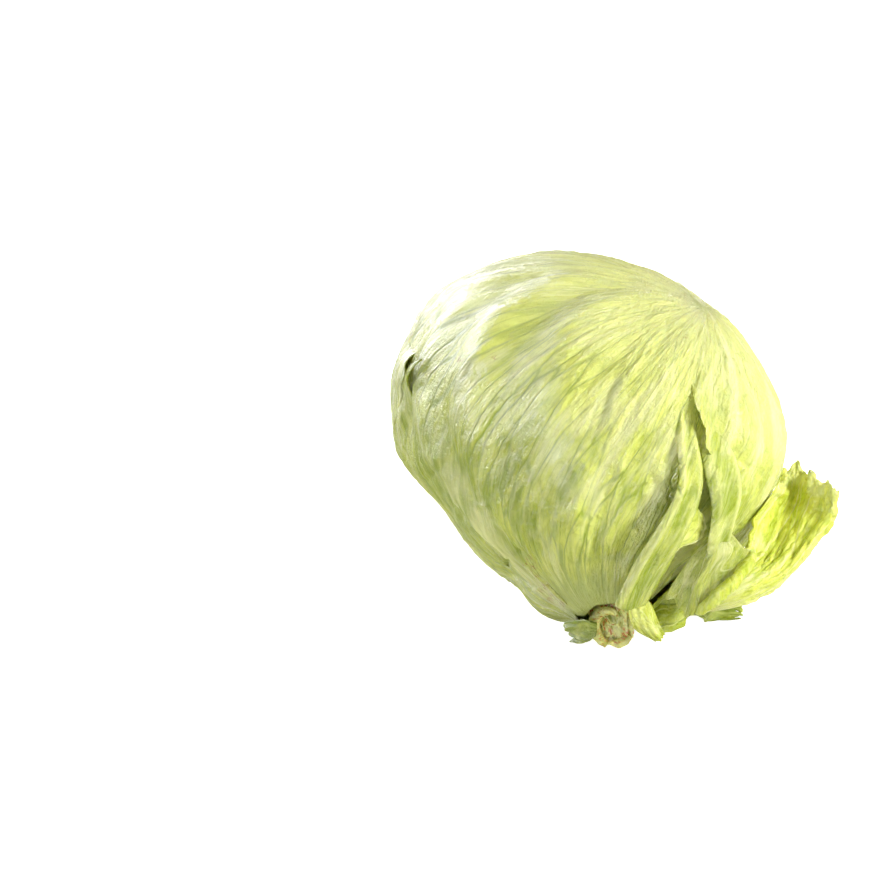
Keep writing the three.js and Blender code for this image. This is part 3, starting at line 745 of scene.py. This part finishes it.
def free_leaf(net, along, across, thick, lift, floor, ruffle, tooth=None, place=toward_viewer):
    """A free leaf through a net of seen places: points, faces, and its u and v."""
    rows = np.array([[place(*p) + HEAD_MIDDLE for p in row] for row in net])
    lines = np.stack([smooth_path(rows[:, j], along + 1) for j in range(rows.shape[1])], 1)
    grid = np.stack([smooth_path(line, across + 1) for line in lines])
    u, v = np.meshgrid(np.linspace(0, 1, along + 1), np.linspace(0, 1, across + 1), indexing="ij")
    if tooth is not None:
        stretch = smooth(0.8, 1, u) * tooth(v)
        grid = grid + unit(np.gradient(grid, axis=0)) * stretch[..., None]
    grid = grid + normals(grid) * ruffle(u, v)[..., None]
    normal = normals(grid)
    half = (thick(u, v) / 2)[..., None]
    arm = grid - HEAD_MIDDLE
    radius = np.linalg.norm(arm, axis=-1)
    least = head_radius(arm / radius[..., None]) + lift + half[..., 0]
    grid = arm / radius[..., None] * np.maximum(radius, least)[..., None] + HEAD_MIDDLE
    grid[..., 2] = np.maximum(grid[..., 2], floor + half[..., 0])
    outer = (grid + normal * half).reshape(-1, 3)
    inner = (grid - normal * half).reshape(-1, 3)
    wide = across + 1
    start = (np.arange(along)[:, None] * wide + np.arange(across)).ravel()
    top = np.stack([start, start + wide, start + wide + 1, start + 1], 1)
    n = len(outer)
    loop = np.concatenate([
        np.arange(along) * wide,
        along * wide + np.arange(across),
        (along - np.arange(along)) * wide + across,
        across - np.arange(across),
    ])
    after = np.roll(loop, -1)
    edge = np.stack([loop, loop + n, after + n, after], 1)
    faces = np.vstack([top, top[:, ::-1] + n, edge])
    return np.vstack([outer, inner]), faces, u.ravel(), v.ravel()


def leaf_space(u, v, wide, long_):
    """The space for patterns on a free leaf, with its true width and a tenth of its length."""
    return np.stack([v * wide, 0 * v, u * long_], 1)


def veins(u, v, starts):
    """How much each point of a free leaf lies on a vein that fans out from its base."""
    found = np.zeros_like(u)
    for start, lean in starts:
        line = start + lean * u + 0.05 * np.sin(9 * u + 7 * start)
        wide = 0.028 * (1.15 - u)
        found = np.maximum(found, smooth(wide, 0, np.abs(v - line)))
    return found


def patches(x, y, spots):
    """Sum of soft ellipses in the front view: place, half length, half width, tilt, strength."""
    total = 0
    for px, py, long_, wide, tilt, strength in spots:
        a = math.radians(tilt)
        dx, dy = x - px, y - py
        along = (dx * math.cos(a) + dy * math.sin(a)) / long_
        across = (dy * math.cos(a) - dx * math.sin(a)) / wide
        total = total + strength * np.exp(-(along**2) - across**2)
    return total


def rib_lines(share, even, count, seed, wide=0.12):
    """Long ribs that run with the leaf from stem to crown."""
    drift = patch_noise(rib_space(share, even) * [0.05, 0.05, 0.12], seed)
    wave = np.cos(count * even + drift * 3)
    return smooth(1 - wide, 1, wave)


FRONT_SIZE = (128, 620)
# Green patches of the front leaf in the front view: place, half length, half width, tilt and
# strength. Most are the leaf's own green. Four are painted shade: the line along the lower front
# at (612, 558), the wide patch under the head at (590, 600), the strip left of the free rib at
# (655, 510) where the rib's shadow falls, and the pocket of the left fold at (415, 385).
FRONT_GREEN_AND_SHADE = [
    (554, 300, 34, 11, -24, 0.7), (600, 415, 36, 7, -70, 0.8), (556, 492, 30, 12, -80, 0.6),
    # Painted shade: (612, 558) is the shadow line along the lower front, and (655, 510) is the
    # free rib's shadow on the blade.
    (612, 558, 42, 6, 0, 0.6), (655, 510, 36, 11, -75, 0.45), (664, 335, 24, 6, -55, 0.7),
    (440, 425, 22, 14, -55, 0.5), (460, 375, 22, 5, -60, 0.6), (505, 350, 34, 9, -40, 0.5),
    (520, 440, 44, 12, -60, 0.5), (480, 500, 40, 12, -60, 0.45), (455, 470, 34, 20, -60, 0.6),
    # Painted shade: (590, 600) darkens the underside of the head at the lower front.
    (520, 545, 40, 16, -70, 0.35), (590, 600, 70, 22, 5, 1.0), (640, 440, 50, 5, -85, 0.4),
    (575, 530, 34, 14, -80, -0.6), (470, 520, 60, 26, 60, 0.6), (500, 480, 26, 8, -60, 0.4),
    (600, 395, 40, 10, -65, 0.35), (425, 455, 30, 14, 70, 0.45), (700, 300, 34, 22, -40, -0.4),
    # Painted shade: (415, 385) darkens the pocket of the fold at the left.
    (415, 385, 16, 5, -52, 0.8), (500, 400, 30, 10, -50, 0.4), (620, 480, 50, 5, -82, 0.35),
]
FRONT_DENTS = [
    (503, 572, 12, 2.2, -80, 1.6), (455, 395, 16, 3, -60, 1.3), (462, 372, 10, 2.5, -65, 1.1),
    (600, 405, 28, 4, -70, 1.3), (662, 335, 16, 3.5, -55, 1.1), (440, 430, 14, 5, -55, 1.0),
    (550, 505, 20, 6, -80, 0.9), (530, 455, 24, 5, -62, 0.9), (497, 340, 22, 4, -42, 1.0),
    (560, 300, 26, 4, -24, 0.9), (480, 440, 26, 4, -58, 0.9), (575, 350, 24, 4, -45, 0.8),
    (420, 369, 13, 2.6, -48, 1.6), (421, 378, 11, 1.8, -36, -1.3), (436, 470, 20, 3, -48, 0.8),
    (470, 420, 24, 3, -50, 0.8), (520, 390, 24, 3, -52, 0.7),
]


def seen_green(share, turn, spots):
    x, y, toward = view_place(rib_direction(share, turn))
    return patches(x, y, spots) * smooth(-10, 15, toward)


def front_look(share, turn, even):
    rib = 0.2 * rib_lines(share, even, 13, 41) * smooth(0.75, 0.4, share)
    rib = rib * smooth(0.1, 0.35, share) + 0.35 * smooth(0.22, 0.06, share)
    rib = rib + 0.6 * smooth(0.45, 0.85, share) + 0.3 * smooth(0.82, 0.95, share)
    # This green carries painted shade from the patches at the lower front, beside the free rib and
    # in the left fold, as well as the leaf's own green.
    return seen_green(share, turn, FRONT_GREEN_AND_SHADE), np.clip(rib, 0, 1)


def no_curl(share, turn, t):
    return 0


def specks(x, y, toward, places):
    """Small rust-brown marks round given places of the front view."""
    total = 0
    for px, py, size, strength in places:
        total = total + strength * np.exp(-(((x - px) ** 2 + (y - py) ** 2) / size**2))
    return np.clip(total, 0, 1) * (toward > 0)


BROWN_SPECKS = [
    (525, 560, 3, 1), (530, 569, 4, 1), (534, 578, 3, 1), (541, 589, 5, 1), (549, 600, 5, 1),
    (560, 606, 4, 1), (522, 566, 2, 1),
    (489, 357, 3, 0.8), (685, 292, 2, 0.8), (683, 337, 2, 0.6), (455, 360, 3, 0.7),
]


def front_leaf():
    skin = leaf_material("front leaf skin", BLADE_PALE, BLADE_GREEN, RIB_PALE)
    blade = head_blade(
        (0.5, -95), FRONT_MARGIN, lambda share, turn: LAYER + 0.3 * smooth(-132, -146, turn),
        LAYER, FRONT_SIZE, 0.006, 22, 1.1, no_curl, front_look, BROWN_SPECKS, FRONT_DENTS,
    )
    rib = strap(FRONT_STRAP, skin, 0.5, 0.05)
    net = [
        [(684, 500, 3.6), (688, 503, 3.4), (692, 508, 3)],
        [(673, 520, 5.2), (688, 520, 4.4), (699, 524, 3.6)],
        [(664, 533, 6), (678, 536, 5.6), (696, 537, 5)],
        [(656, 546, 7), (664, 549, 6.8), (672, 546, 6.6)],
        [(648, 560, 7.4), (655, 564, 7.2), (660, 562, 7)],
    ]
    points, faces, u, v = free_leaf(
        net, 60, 40, lambda u, v: 0.8 - 0.4 * v, 0.5, 0.5,
        lambda u, v: 0.8 * v * np.sin(11 * u) + 0.3 * v * np.sin(37 * u + 4 * v),
        place=over_head,
    )
    space = leaf_space(u, v, 14, 5)
    torn = both_faces(points, faces, space, 0.15 * (1 - v), 0.8 * smooth(0.75, 1, v))
    finish_piece("front_leaf_blade", [blade, rib, torn], skin, "front_leaf")


front_leaf()


# Right leaf: lies over the right side and the crown. Its left margin curls up beside the front
# rib. Its own rib hangs off below and widens to a torn base.
RIGHT_MARGIN = [
    (0.88, -58), (0.8, -55), (0.7, -46), (0.62, -41), (0.55, -32), (0.49, -17), (0.42, 0),
    (0.33, 22), (0.24, 45), (0.2, 75), (0.22, 100), (0.4, 112), (0.6, 118), (0.8, 125),
    (0.9, 150), (0.93, -178), (0.945, -150), (0.95, -110), (0.94, -75),
]
RIGHT_STRAP = [
    (703, 415, -2.6, 11), (707, 443, -0.4, 15), (715, 470, 1.8, 18), (719, 495, 3.6, 17),
    (716, 520, 5.6, 13.5), (711, 546, 7.6, 11), (705, 568, 8.6, 7), (698, 588, 8.6, 3),
]
RIGHT_BASE = [
    [(706, 533, 47), (712, 536, 49), (718, 536, 48.5), (724, 531, 46)],
    [(690, 549, 48), (703, 556, 51), (716, 553, 50), (733, 541, 45)],
    [(676, 570, 46), (690, 580, 50), (706, 573, 49), (739, 546, 44)],
    [(662, 592, 43), (685, 612, 47), (702, 593, 48), (746, 548, 42)],
]
RIGHT_GREEN = [
    (717, 361, 22, 12, -75, 0.7), (704, 405, 26, 6, -90, 0.6), (740, 330, 24, 6, 60, 0.4),
    (735, 500, 24, 10, -80, 0.6), (720, 425, 20, 6, 80, 0.4),
]


def right_look(share, turn, even):
    rib = 0.4 * rib_lines(share, even, 15, 42) + 0.6 * smooth(0.4, 0.85, share)
    return seen_green(share, turn, RIGHT_GREEN), np.clip(rib, 0, 1)


def right_curl(share, turn, t):
    side = 1 - smooth(10, 40, turn)
    low = smooth(0.78, 0.6, share) * smooth(0.3, 0.4, share)
    crown_side = np.maximum(smooth(90, 60, np.abs(turn)), smooth(0.82, 0.9, share))
    flush = smooth(0.56, 0.7, share) * crown_side
    sunk = -2.6 * flush * smooth(0.55, 1, t)
    return 3.4 * side * low * smooth(0.8, 1, t) * (1 - flush) + sunk


def right_leaf():
    skin = leaf_material("right leaf skin", BLADE_PALE, BLADE_GREEN, RIB_PALE, 0.5, 0.5)
    blade = head_blade(
        (0.62, 42), RIGHT_MARGIN, lambda share, turn: 0,
        0, (100, 520), 0.007, 23, 1.0, right_curl, right_look,
    )
    rib = strap(RIGHT_STRAP, skin, 0, 0.6)
    points, faces, u, v = free_leaf(
        RIGHT_BASE, 110, 130, lambda u, v: 1.3 - 0.8 * u, 0.8, 0.5,
        lambda u, v: 1.1 * u * np.sin(15 * v + 1.5) + 0.18 * u * np.sin(47 * v + 6 * u),
        lambda v: 1.4 * np.sin(41 * v) * np.sin(17 * v),
    )
    vein = veins(u, v, [(0.1, -0.02), (0.3, 0.0), (0.52, 0.02), (0.75, 0.08)])
    space = leaf_space(u, v, 60, 10)
    base = both_faces(points, faces, space, 0.3 + 0.2 * np.sin(9 * v), 0.7 * vein)
    finish_piece("right_leaf_blade", [blade, rib, base], skin, "right_leaf")


right_leaf()


# Back leaf: wraps the underside and the lower back. Its margin lies flush on the front leaf
# round the left side, and folds up over it for a short way.
BACK_MARGIN = [
    (0.07, 70), (0.06, 120), (0.045, 180), (0.06, -140), (0.085, -125), (0.11, -129), (0.12, -143),
    (0.16, -157), (0.25, -160), (0.36, -157), (0.4, -149), (0.43, -144), (0.465, -146),
    (0.49, -141), (0.515, -134), (0.545, -143), (0.57, -157), (0.61, -172), (0.62, 165),
    (0.66, 145), (0.62, 125), (0.5, 95), (0.3, 82), (0.15, 66),
]


def back_curl(share, turn, t):
    side = smooth(-156, -150, turn) * smooth(-120, -128, turn)
    fold = side * smooth(0.455, 0.485, share) * smooth(0.532, 0.5, share)
    left = smooth(115, 140, np.abs(turn)) * smooth(0.04, 0.07, share) * (1 - fold)
    return 1.6 * fold * smooth(0.8, 1, t) - 2.7 * left * smooth(0.75, 1, t)


def back_look(share, turn, even):
    fold = smooth(-165, -140, turn) * smooth(0.35, 0.42, share)
    return 0.15 + 0.5 * fold, 0.5 * rib_lines(share, even, 13, 43) * smooth(0.75, 0.4, share)


def back_leaf():
    skin = leaf_material("back leaf skin", BLADE_PALE, BLADE_GREEN, RIB_PALE)
    blade = head_blade(
        (0.34, 165), BACK_MARGIN,
        lambda share, turn: LAYER * smooth(150, 105, turn) * smooth(0, 20, turn),
        0, (110, 560), 0.008, 24, 1.0, back_curl, back_look, BROWN_SPECKS,
    )
    finish_piece("back_leaf_blade", [blade], skin, "back_leaf")


back_leaf()


# Crown leaf: the next leaf in, pale and close-ribbed. It lies under the others and shows only
# between them at the upper back.
CROWN_LAYER = 4.5
CROWN_MARGIN = [
    (0.5, 110), (0.5, 145), (0.5, 175), (0.52, -155), (0.7, -140), (0.86, -110),
    (0.95, 0), (0.86, 90), (0.66, 100),
]


def crown_leaf():
    skin = leaf_material("crown leaf skin", (0.72, 0.73, 0.3), BLADE_GREEN, RIB_PALE, 0.4, 0.3)
    blade = head_blade(
        (0.78, 175), CROWN_MARGIN, lambda share, turn: CROWN_LAYER,
        CROWN_LAYER, (70, 340), 0.004, 25, 0.8, no_curl,
        lambda share, turn, even: (0.05, 0.4 * rib_lines(share, even, 19, 44, 0.15)),
    )
    finish_piece("crown_leaf_blade", [blade], skin, "crown_leaf")


crown_leaf()


# Frilled leaf: an open green outer leaf at the lower right. It rises from under the torn base
# like a scoop, with veins that fan out to a toothed and crimped margin.
# Rows from root to margin: place in the front view, and distance toward the viewer.
FRILLED_NET = [
    [(703, 588, 28), (705, 592, 34), (706, 598, 37), (706, 604, 34), (705, 608, 28)],
    [(733, 561, 28), (740, 567, 32), (741, 579, 35), (737, 592, 33), (733, 604, 25)],
    [(746, 540, 31), (758, 550, 20), (770, 560, 21), (778, 572, 27), (768, 590, 18)],
    [(751, 511, 26), (774, 515, 11), (793, 526, 12), (806, 543, 21), (800, 560, 12)],
    [(762, 483, 20), (786, 487, 8), (808, 497, 9), (826, 512, 18), (827, 528, 11)],
    [(769, 478, 20), (792, 469, 11), (811, 481, 12), (828, 490, 19), (833, 499, 13)],
]
FRILLED_ROLL = [
    (692, 609, 47), (702, 602, 50), (715, 590, 52), (729, 577, 50), (741, 563, 45), (749, 550, 37),
]
ROLL_STEPS = 60
FRILLED_VEINS = [(0.1, 0.06), (0.28, 0.1), (0.42, 0.02), (0.6, -0.03), (0.78, 0.05), (0.92, 0.0)]


def gnarled(points, coarse, rise, fine, seed):
    """Lumps on a rolled or curled rib."""
    lumps = patch_noise(points * coarse, seed) * rise + patch_noise(points * fine, seed + 1) * 0.25
    return points + unit(points) * lumps[:, None]


def frilled_leaf():
    skin = leaf_material(
        "frilled leaf skin", (0.77, 0.81, 0.13), (0.42, 0.52, 0.012), (0.88, 0.89, 0.42), 0.6, 0.4
    )
    draw = steady_draws(26)
    phase = [next(draw) * 6, next(draw) * 6]

    def ruffle(u, v):
        margin = smooth(0.35, 1, u)
        folds = np.sin(19 * v + phase[0]) + 0.6 * np.sin(33 * v + 4 * u + phase[1])
        crimp = 0.5 * np.sin(71 * v + 9 * u) * np.sin(13 * u + 5 * v)
        cells = patch_noise(np.stack([v * 24, u * 20, 0 * u], -1), 51) * 0.8
        cells = cells + patch_noise(np.stack([v * 52, u * 46, 0 * u], -1), 52) * 0.35
        open_ = smooth(0.15, 0.4, u) * smooth(1.0, 0.7, u)
        pleats = 1.7 * band(v + 0.1 * u, 0.42, 0.05) - 1.7 * band(v + 0.08 * u, 0.3, 0.045)
        pleats = pleats - 1.1 * band(v, 0.58, 0.04)
        body = smooth(0.1, 0.3, u) * cells + open_ * pleats
        return 1.2 * margin * folds + smooth(0.6, 1, u) * crimp + body

    points, faces, u, v = free_leaf(
        FRILLED_NET, 220, 200, lambda u, v: 1.4 - 0.95 * smooth(0, 1, u), 1, 0.5, ruffle,
        lambda v: 2.5 * np.abs(np.sin(4.5 * math.pi * v + 0.6)) + 1.2 * np.sin(31 * v)
        + 0.9 * np.abs(np.sin(53 * v)),
    )
    vein = veins(u, v, FRILLED_VEINS)
    # Painted shade: the valley of the fold at v 0.3 is painted greener.
    valley_shade = band(v + 0.08 * u, 0.3, 0.06) * smooth(0.1, 0.3, u)
    green = 0.05 + 0.12 * smooth(0.72, 0.5, v) * smooth(0.2, 0.5, u) + 0.3 * valley_shade
    rib = 0.8 * vein + 0.3 * smooth(0.8, 1, v)
    blade = both_faces(points, faces, leaf_space(u, v, 70, 16), green, rib)
    path = smooth_path([toward_viewer(*p) for p in FRILLED_ROLL], ROLL_STEPS)
    width = np.interp(np.linspace(0, 1, ROLL_STEPS), (0, 0.3, 0.8, 1), (4, 7, 6.5, 3))
    points, faces = sweep_rib(path, unit(path), width, 0.8, skin)
    points = gnarled(points, 0.35, 0.7, 0.9, 53)
    roll = (points + HEAD_MIDDLE, faces, points * [1, 1, 0.2], 0.55, 0, 0)
    finish_piece("frilled_leaf_blade", [blade, roll], skin, "frilled_leaf")


frilled_leaf()


# Low leaf and small leaf: torn green scraps of outer leaves under the stem. One lies along the
# table to the right, with a pale lobe beside the stem, and one hangs at the left.
LOW_NET = [
    [(642, 594, 38), (645, 606, 38), (648, 618, 42), (650, 631, 40)],
    [(655, 590, 40), (658, 602, 39), (661, 615, 40), (663, 629, 37)],
    [(668, 587, 38), (671, 600, 35), (674, 610, 35), (677, 625, 33)],
    [(684, 586, 22), (686, 597, 22), (687, 605, 24), (688, 614, 21)],
    [(704, 586, 8), (706, 598, 9), (706, 606, 8), (702, 618, 4)],
    [(722, 600, -6), (722, 606, -5), (719, 614, -4), (712, 629, -4)],
    [(737, 605, -9), (738, 610, -8), (739, 616, -6), (735, 626, -5)],
]
LOW_LOBE_NET = [
    [(624, 594, 46), (634, 593, 45), (642, 592, 42)],
    [(624, 606, 50), (637, 604, 49), (647, 602, 44)],
    [(626, 616, 52), (641, 616, 51), (652, 614, 46)],
    [(633, 627, 50), (647, 627, 49), (656, 623, 45)],
    [(650, 637, 46), (656, 636, 45), (661, 631, 43)],
]
SMALL_NET = [
    [(594, 620, 40), (594, 627, 36), (593, 634, 34)],
    [(584, 617, 42), (585, 627, 35), (586, 638, 31)],
    [(575, 618, 39), (577, 628, 31), (580, 641, 28)],
    [(564, 620, 31), (567, 629, 25), (573, 639, 24)],
]


def scrap_body(net, size, ruffle, tooth, green):
    points, faces, u, v = free_leaf(net, *size, lambda u, v: 1.1 - 0.6 * u, 1, 0.4, ruffle, tooth)
    vein = veins(u, v, [(0.5, 0.0), (0.2, 0.05), (0.8, -0.05)])
    return both_faces(points, faces, leaf_space(u, v, 15, 9), green + 0.3 * u, 0.7 * vein)


def scraps():
    skin = leaf_material("scrap skin", (0.46, 0.52, 0.04), (0.2, 0.27, 0.01), (0.72, 0.76, 0.25))
    pale = leaf_material(
        "lobe skin", (0.6, 0.64, 0.12), (0.34, 0.42, 0.01), (0.8, 0.81, 0.36), 0.5, 0.5
    )
    low = scrap_body(
        LOW_NET, (200, 90),
        lambda u, v: 0.7 * u * np.sin(23 * u + 3 * v) + 0.4 * np.sin(41 * u + 9 * v),
        lambda v: 1.6 * np.sin(23 * v) + 0.8 * np.abs(np.sin(47 * v)), 0.3,
    )
    finish_piece("low_leaf_blade", [low], skin, "low_leaf")
    lobe = scrap_body(
        LOW_LOBE_NET, (90, 70),
        lambda u, v: 0.5 * u * np.sin(9 * v + 4 * u) + 0.2 * np.sin(31 * v + 5 * u),
        lambda v: 0.6 * np.sin(19 * v), 0.1,
    )
    finish_piece("low_leaf_lobe", [lobe], pale, "low_leaf")
    small = scrap_body(
        SMALL_NET, (80, 70),
        lambda u, v: 0.9 * u * np.sin(8 * v + 6 * u) + 0.5 * u * np.sin(25 * v + 9 * u),
        lambda v: 3.4 * np.abs(np.sin(11 * v + 0.5)) - 1.5, 1.3,
    )
    finish_piece("small_leaf_blade", [small], skin, "small_leaf")


scraps()


# Stem: the cut butt of the head. A pale pith with the stubs of trimmed leaf bases round it,
# rust-brown where the cut has dried.
STEM_RADIUS = 9
STEM_START = 79
STEM_LENGTH = 14.5
STUBS = 6
STEM_CUT_WAY = unit(from_seen(-0.25, -0.4, 0.88))
STEM_SHIFT = from_seen(-3.5, 1.6, 0)
STUB_SIDES = 72
STUB_RINGS = 26
STUB_EDGE_RINGS = 8
STUB_CAP_RINGS = 12
STEM_EAST = unit(np.cross([1.0, 0.0, 0.0], STEM_WAY))
STEM_NORTH = np.cross(STEM_WAY, STEM_EAST)


def stub_profile():
    """Reach and height of a stub's rings: the wall, the round edge and the cut face."""
    rows = [(0.0, 0.0)]
    for k in range(STUB_RINGS):
        rows.append((1.05 - 0.13 * smooth(0.5, 1, k / STUB_RINGS), k / STUB_RINGS))
    for k in range(STUB_EDGE_RINGS):
        bend = k / STUB_EDGE_RINGS * 1.2
        rows.append((0.92 * math.cos(bend), 1 + 0.05 * math.sin(bend)))
    for k in range(STUB_CAP_RINGS):
        left = 1 - k / STUB_CAP_RINGS
        rows.append((0.3 * left, 1.03 - 0.05 * left))
    return np.array(rows)


def stub(centre, radius, length, squash, seed):
    """A stub along the stem: a closed body of rings with an uneven cut face."""
    spin = math.atan2(centre[1], centre[0])
    a = np.arange(STUB_SIDES) / STUB_SIDES * 2 * math.pi
    profile = stub_profile()
    reach = profile[:, :1] * radius + 0 * a
    along = profile[:, 1:] + 0 * a
    around = np.stack([np.cos(a) * 2.2 + 0 * along, np.sin(a) * 2.2 + 0 * along, along * 3], -1)
    uneven = 0.12 * patch_noise(around, seed) + 0.06 * patch_noise(around * 3, seed + 1)
    reach = reach * (1 + uneven)
    radial, across = reach * squash * np.cos(a), reach * np.sin(a)
    x = centre[0] + radial * math.cos(spin) - across * math.sin(spin)
    y = centre[1] + radial * math.sin(spin) + across * math.cos(spin)
    foot = STEM_WAY * STEM_START + STEM_EAST * x[..., None] + STEM_NORTH * y[..., None]
    cut_at = STEM_WAY * (STEM_START + 0.4 * STEM_LENGTH + 0.25 * (length - 0.85 * STEM_LENGTH))
    limit = ((cut_at - foot) @ STEM_CUT_WAY) / (STEM_WAY @ STEM_CUT_WAY)
    rough = np.stack([x * 0.8, y * 0.8, 0 * x], -1)
    limit = limit + 0.9 * patch_noise(rough, seed + 2) * smooth(0.7, 1, along)
    limit = limit - 3.2 * smooth(0.85, 0.4, reach / radius) * smooth(0.99, 1, along)
    points = foot + STEM_WAY * (np.minimum(along, 1) * np.maximum(limit, 1))[..., None]
    points = (points + HEAD_MIDDLE + STEM_SHIFT).reshape(-1, 3)
    k, r = np.meshgrid(np.arange(STUB_SIDES), np.arange(len(profile) - 1))
    here, there = r * STUB_SIDES + k, r * STUB_SIDES + (k + 1) % STUB_SIDES
    faces = np.stack([here, there, there + STUB_SIDES, here + STUB_SIDES], -1).reshape(-1, 4)
    edge = smooth(0.8, 1.0, along) * smooth(0.5, 0.85, reach / radius)
    brown = np.clip(2 * edge * smooth(-0.3, 0.2, patch_noise(around * 2, seed + 3)), 0, 1)
    # Painted shade: the sunken middle of each cut face is painted deep green, which darkens the
    # hollow. The wall is also greener towards its foot.
    green = smooth(0.85, 0.4, reach / radius) * smooth(0.95, 1, along)
    green = green + 0.35 * smooth(0.7, 0.2, along)
    rib = 0.5 * (1 - np.clip(green, 0, 1))
    flat = np.stack([x, y, along * 3], -1).reshape(-1, 3)
    return points, faces, flat, green.ravel(), rib.ravel(), brown.ravel()


# The dried rim of the cut curls up at the left, at the right and along the lower edge.
RIMS = [
    ([(605, 642, 29), (596, 635, 31), (592, 625, 33), (593, 615, 35), (599, 609, 36.5),
      (607, 608, 37.5), (613, 612, 37)], (3, 4.6, 5, 4.6, 4.2, 3.6, 2)),
    ([(622, 606, 37), (628, 611, 36.5), (630, 619, 35.5), (628, 628, 34)], (2.4, 3.6, 3.6, 2.4)),
    ([(606, 639, 31), (614, 641, 31.5), (622, 638, 32.5), (627, 633, 33)], (2.4, 3.6, 3.4, 2)),
]
RIM_STEPS = 50
CUT_MIDDLE = toward_viewer(611, 624, 34)


def rim(stations, widths, seed, material):
    """A curled rim on the cut face, rusted on the side that faces the middle of the cut."""
    path = smooth_path([toward_viewer(*p) for p in stations], RIM_STEPS)
    steps = np.linspace(0, 1, RIM_STEPS)
    width = np.interp(steps, np.linspace(0, 1, len(widths)), widths)
    points, faces = sweep_rib(path, STEM_CUT_WAY + 0 * path, width, 0.75, material, 0.45, 28)
    points = gnarled(points, 0.4, 0.6, 1.1, seed)
    near = np.linalg.norm(points[:, None] - path[None], axis=2).argmin(1)
    inward = unit(CUT_MIDDLE - path)[near]
    side = ((points - path[near]) * inward).sum(1) / (width[near] / 2)
    rust = smooth(0.0, 0.5, side) * smooth(-0.6, -0.1, patch_noise(points * 0.5, seed + 2))
    rust = np.maximum(rust, 0.8 * smooth(0.15, 0.45, patch_noise(points * 0.7, seed + 3)))
    return points + HEAD_MIDDLE, faces, points * [1, 1, 0.4], 0.15, 0.6 * (1 - rust), rust


def stem():
    skin = leaf_material(
        "stem skin", (0.8, 0.78, 0.22), (0.34, 0.4, 0.02), (0.92, 0.9, 0.42), 0.5, 0.4,
        (0.55, 0.17, 0.02),
    )
    bodies = [stub((0.001, 0), STEM_RADIUS * 0.72, STEM_LENGTH, 1, 61)]
    draw = steady_draws(RELIEF_SEED + 1)
    out = STEM_RADIUS * 0.62
    for k in range(STUBS):
        angle = ((k + 0.3 * next(draw)) / STUBS) * 2 * math.pi
        length = STEM_LENGTH * (0.7 + 0.26 * next(draw))
        centre = (out * math.cos(angle), out * math.sin(angle))
        bodies.append(stub(centre, out, length, 0.6, 70 + 5 * k))
    for k, (stations, widths) in enumerate(RIMS):
        bodies.append(rim(stations, widths, 101 + 4 * k, skin))
    finish_piece("stem_butt", bodies, skin, "stem")


stem()


# Studio: a plain table that stays white to the camera, a camera at the photograph's height and
# angle, and lamps from the right front and the left back. Most of them light reflections alone.
TABLE_HALF = 6.0
CAMERA_FAR = 2.2
CAMERA_WIDE = 0.3633
SENSOR = 36


def seen_way(right, up, toward):
    return Vector(from_seen(right, up, toward))


def turn_to(obj, target):
    obj.rotation_euler = (target - obj.location).to_track_quat("-Z", "Y").to_euler()


def lamp(name, way, far, size, power, matt=True):
    data = bpy.data.lights.new(name, "AREA")
    data.size = size
    data.energy = power
    light = add_object(name, data)
    light.visible_diffuse = matt
    middle = Vector(HEAD_MIDDLE * MM)
    light.location = middle + Vector(way) * far
    turn_to(light, middle)


def studio():
    scene = bpy.context.scene
    paper = bpy.data.materials.new("pale table")
    paper.use_nodes = True
    tree = paper.node_tree
    rays = add_node(tree, "ShaderNodeLightPath", {})
    wire(tree, tree.nodes["Principled BSDF"], {
        "Base Color": (0.9, 0.9, 0.9, 1),
        "Roughness": 0.6,
        "Emission Color": (1, 1, 1, 1),
        "Emission Strength": rays["Is Camera Ray"],
    })
    mesh = bpy.data.meshes.new("table")
    ends = ((-1, -1), (1, -1), (1, 1), (-1, 1))
    corners = [(x * TABLE_HALF, y * TABLE_HALF, 0) for x, y in ends]
    mesh.from_pydata(corners, [], [(0, 1, 2, 3)])
    mesh.materials.append(paper)
    add_object("table", mesh)

    camera = add_object("camera", bpy.data.cameras.new("camera"))
    aim = Vector(HEAD_MIDDLE * MM) + seen_way(-0.0611, -0.0045, 0)
    camera.location = aim + seen_way(0, 0, CAMERA_FAR)
    turn_to(camera, aim)
    camera.data.sensor_width = SENSOR
    camera.data.lens = SENSOR * CAMERA_FAR / CAMERA_WIDE
    camera.data.clip_start = 0.01
    camera.data.clip_end = 50
    scene.camera = camera

    lamp("key", seen_way(0.82, 0.33, 0.46), 1.6, 0.4, 31)
    lamp("front fill", seen_way(-0.1, 0.6, 0.8), 2.0, 0.8, 7)
    lamp("left back box", (-0.86, 0.30, 0.42), 1.4, 1.2, 115, False)
    lamp("back window", (-0.5, 0.78, 0.42), 1.6, 1.2, 75, False)
    lamp("left window", seen_way(-0.6, -0.12, 0.78), 1.8, 0.4, 100, False)
    world = bpy.data.worlds.new("studio")
    world.use_nodes = True
    sky = world.node_tree
    wire(sky, sky.nodes["Background"], {"Color": (1, 1, 0.24, 1), "Strength": 0.19})
    scene.world = world
    scene.view_settings.view_transform = "Standard"


studio()
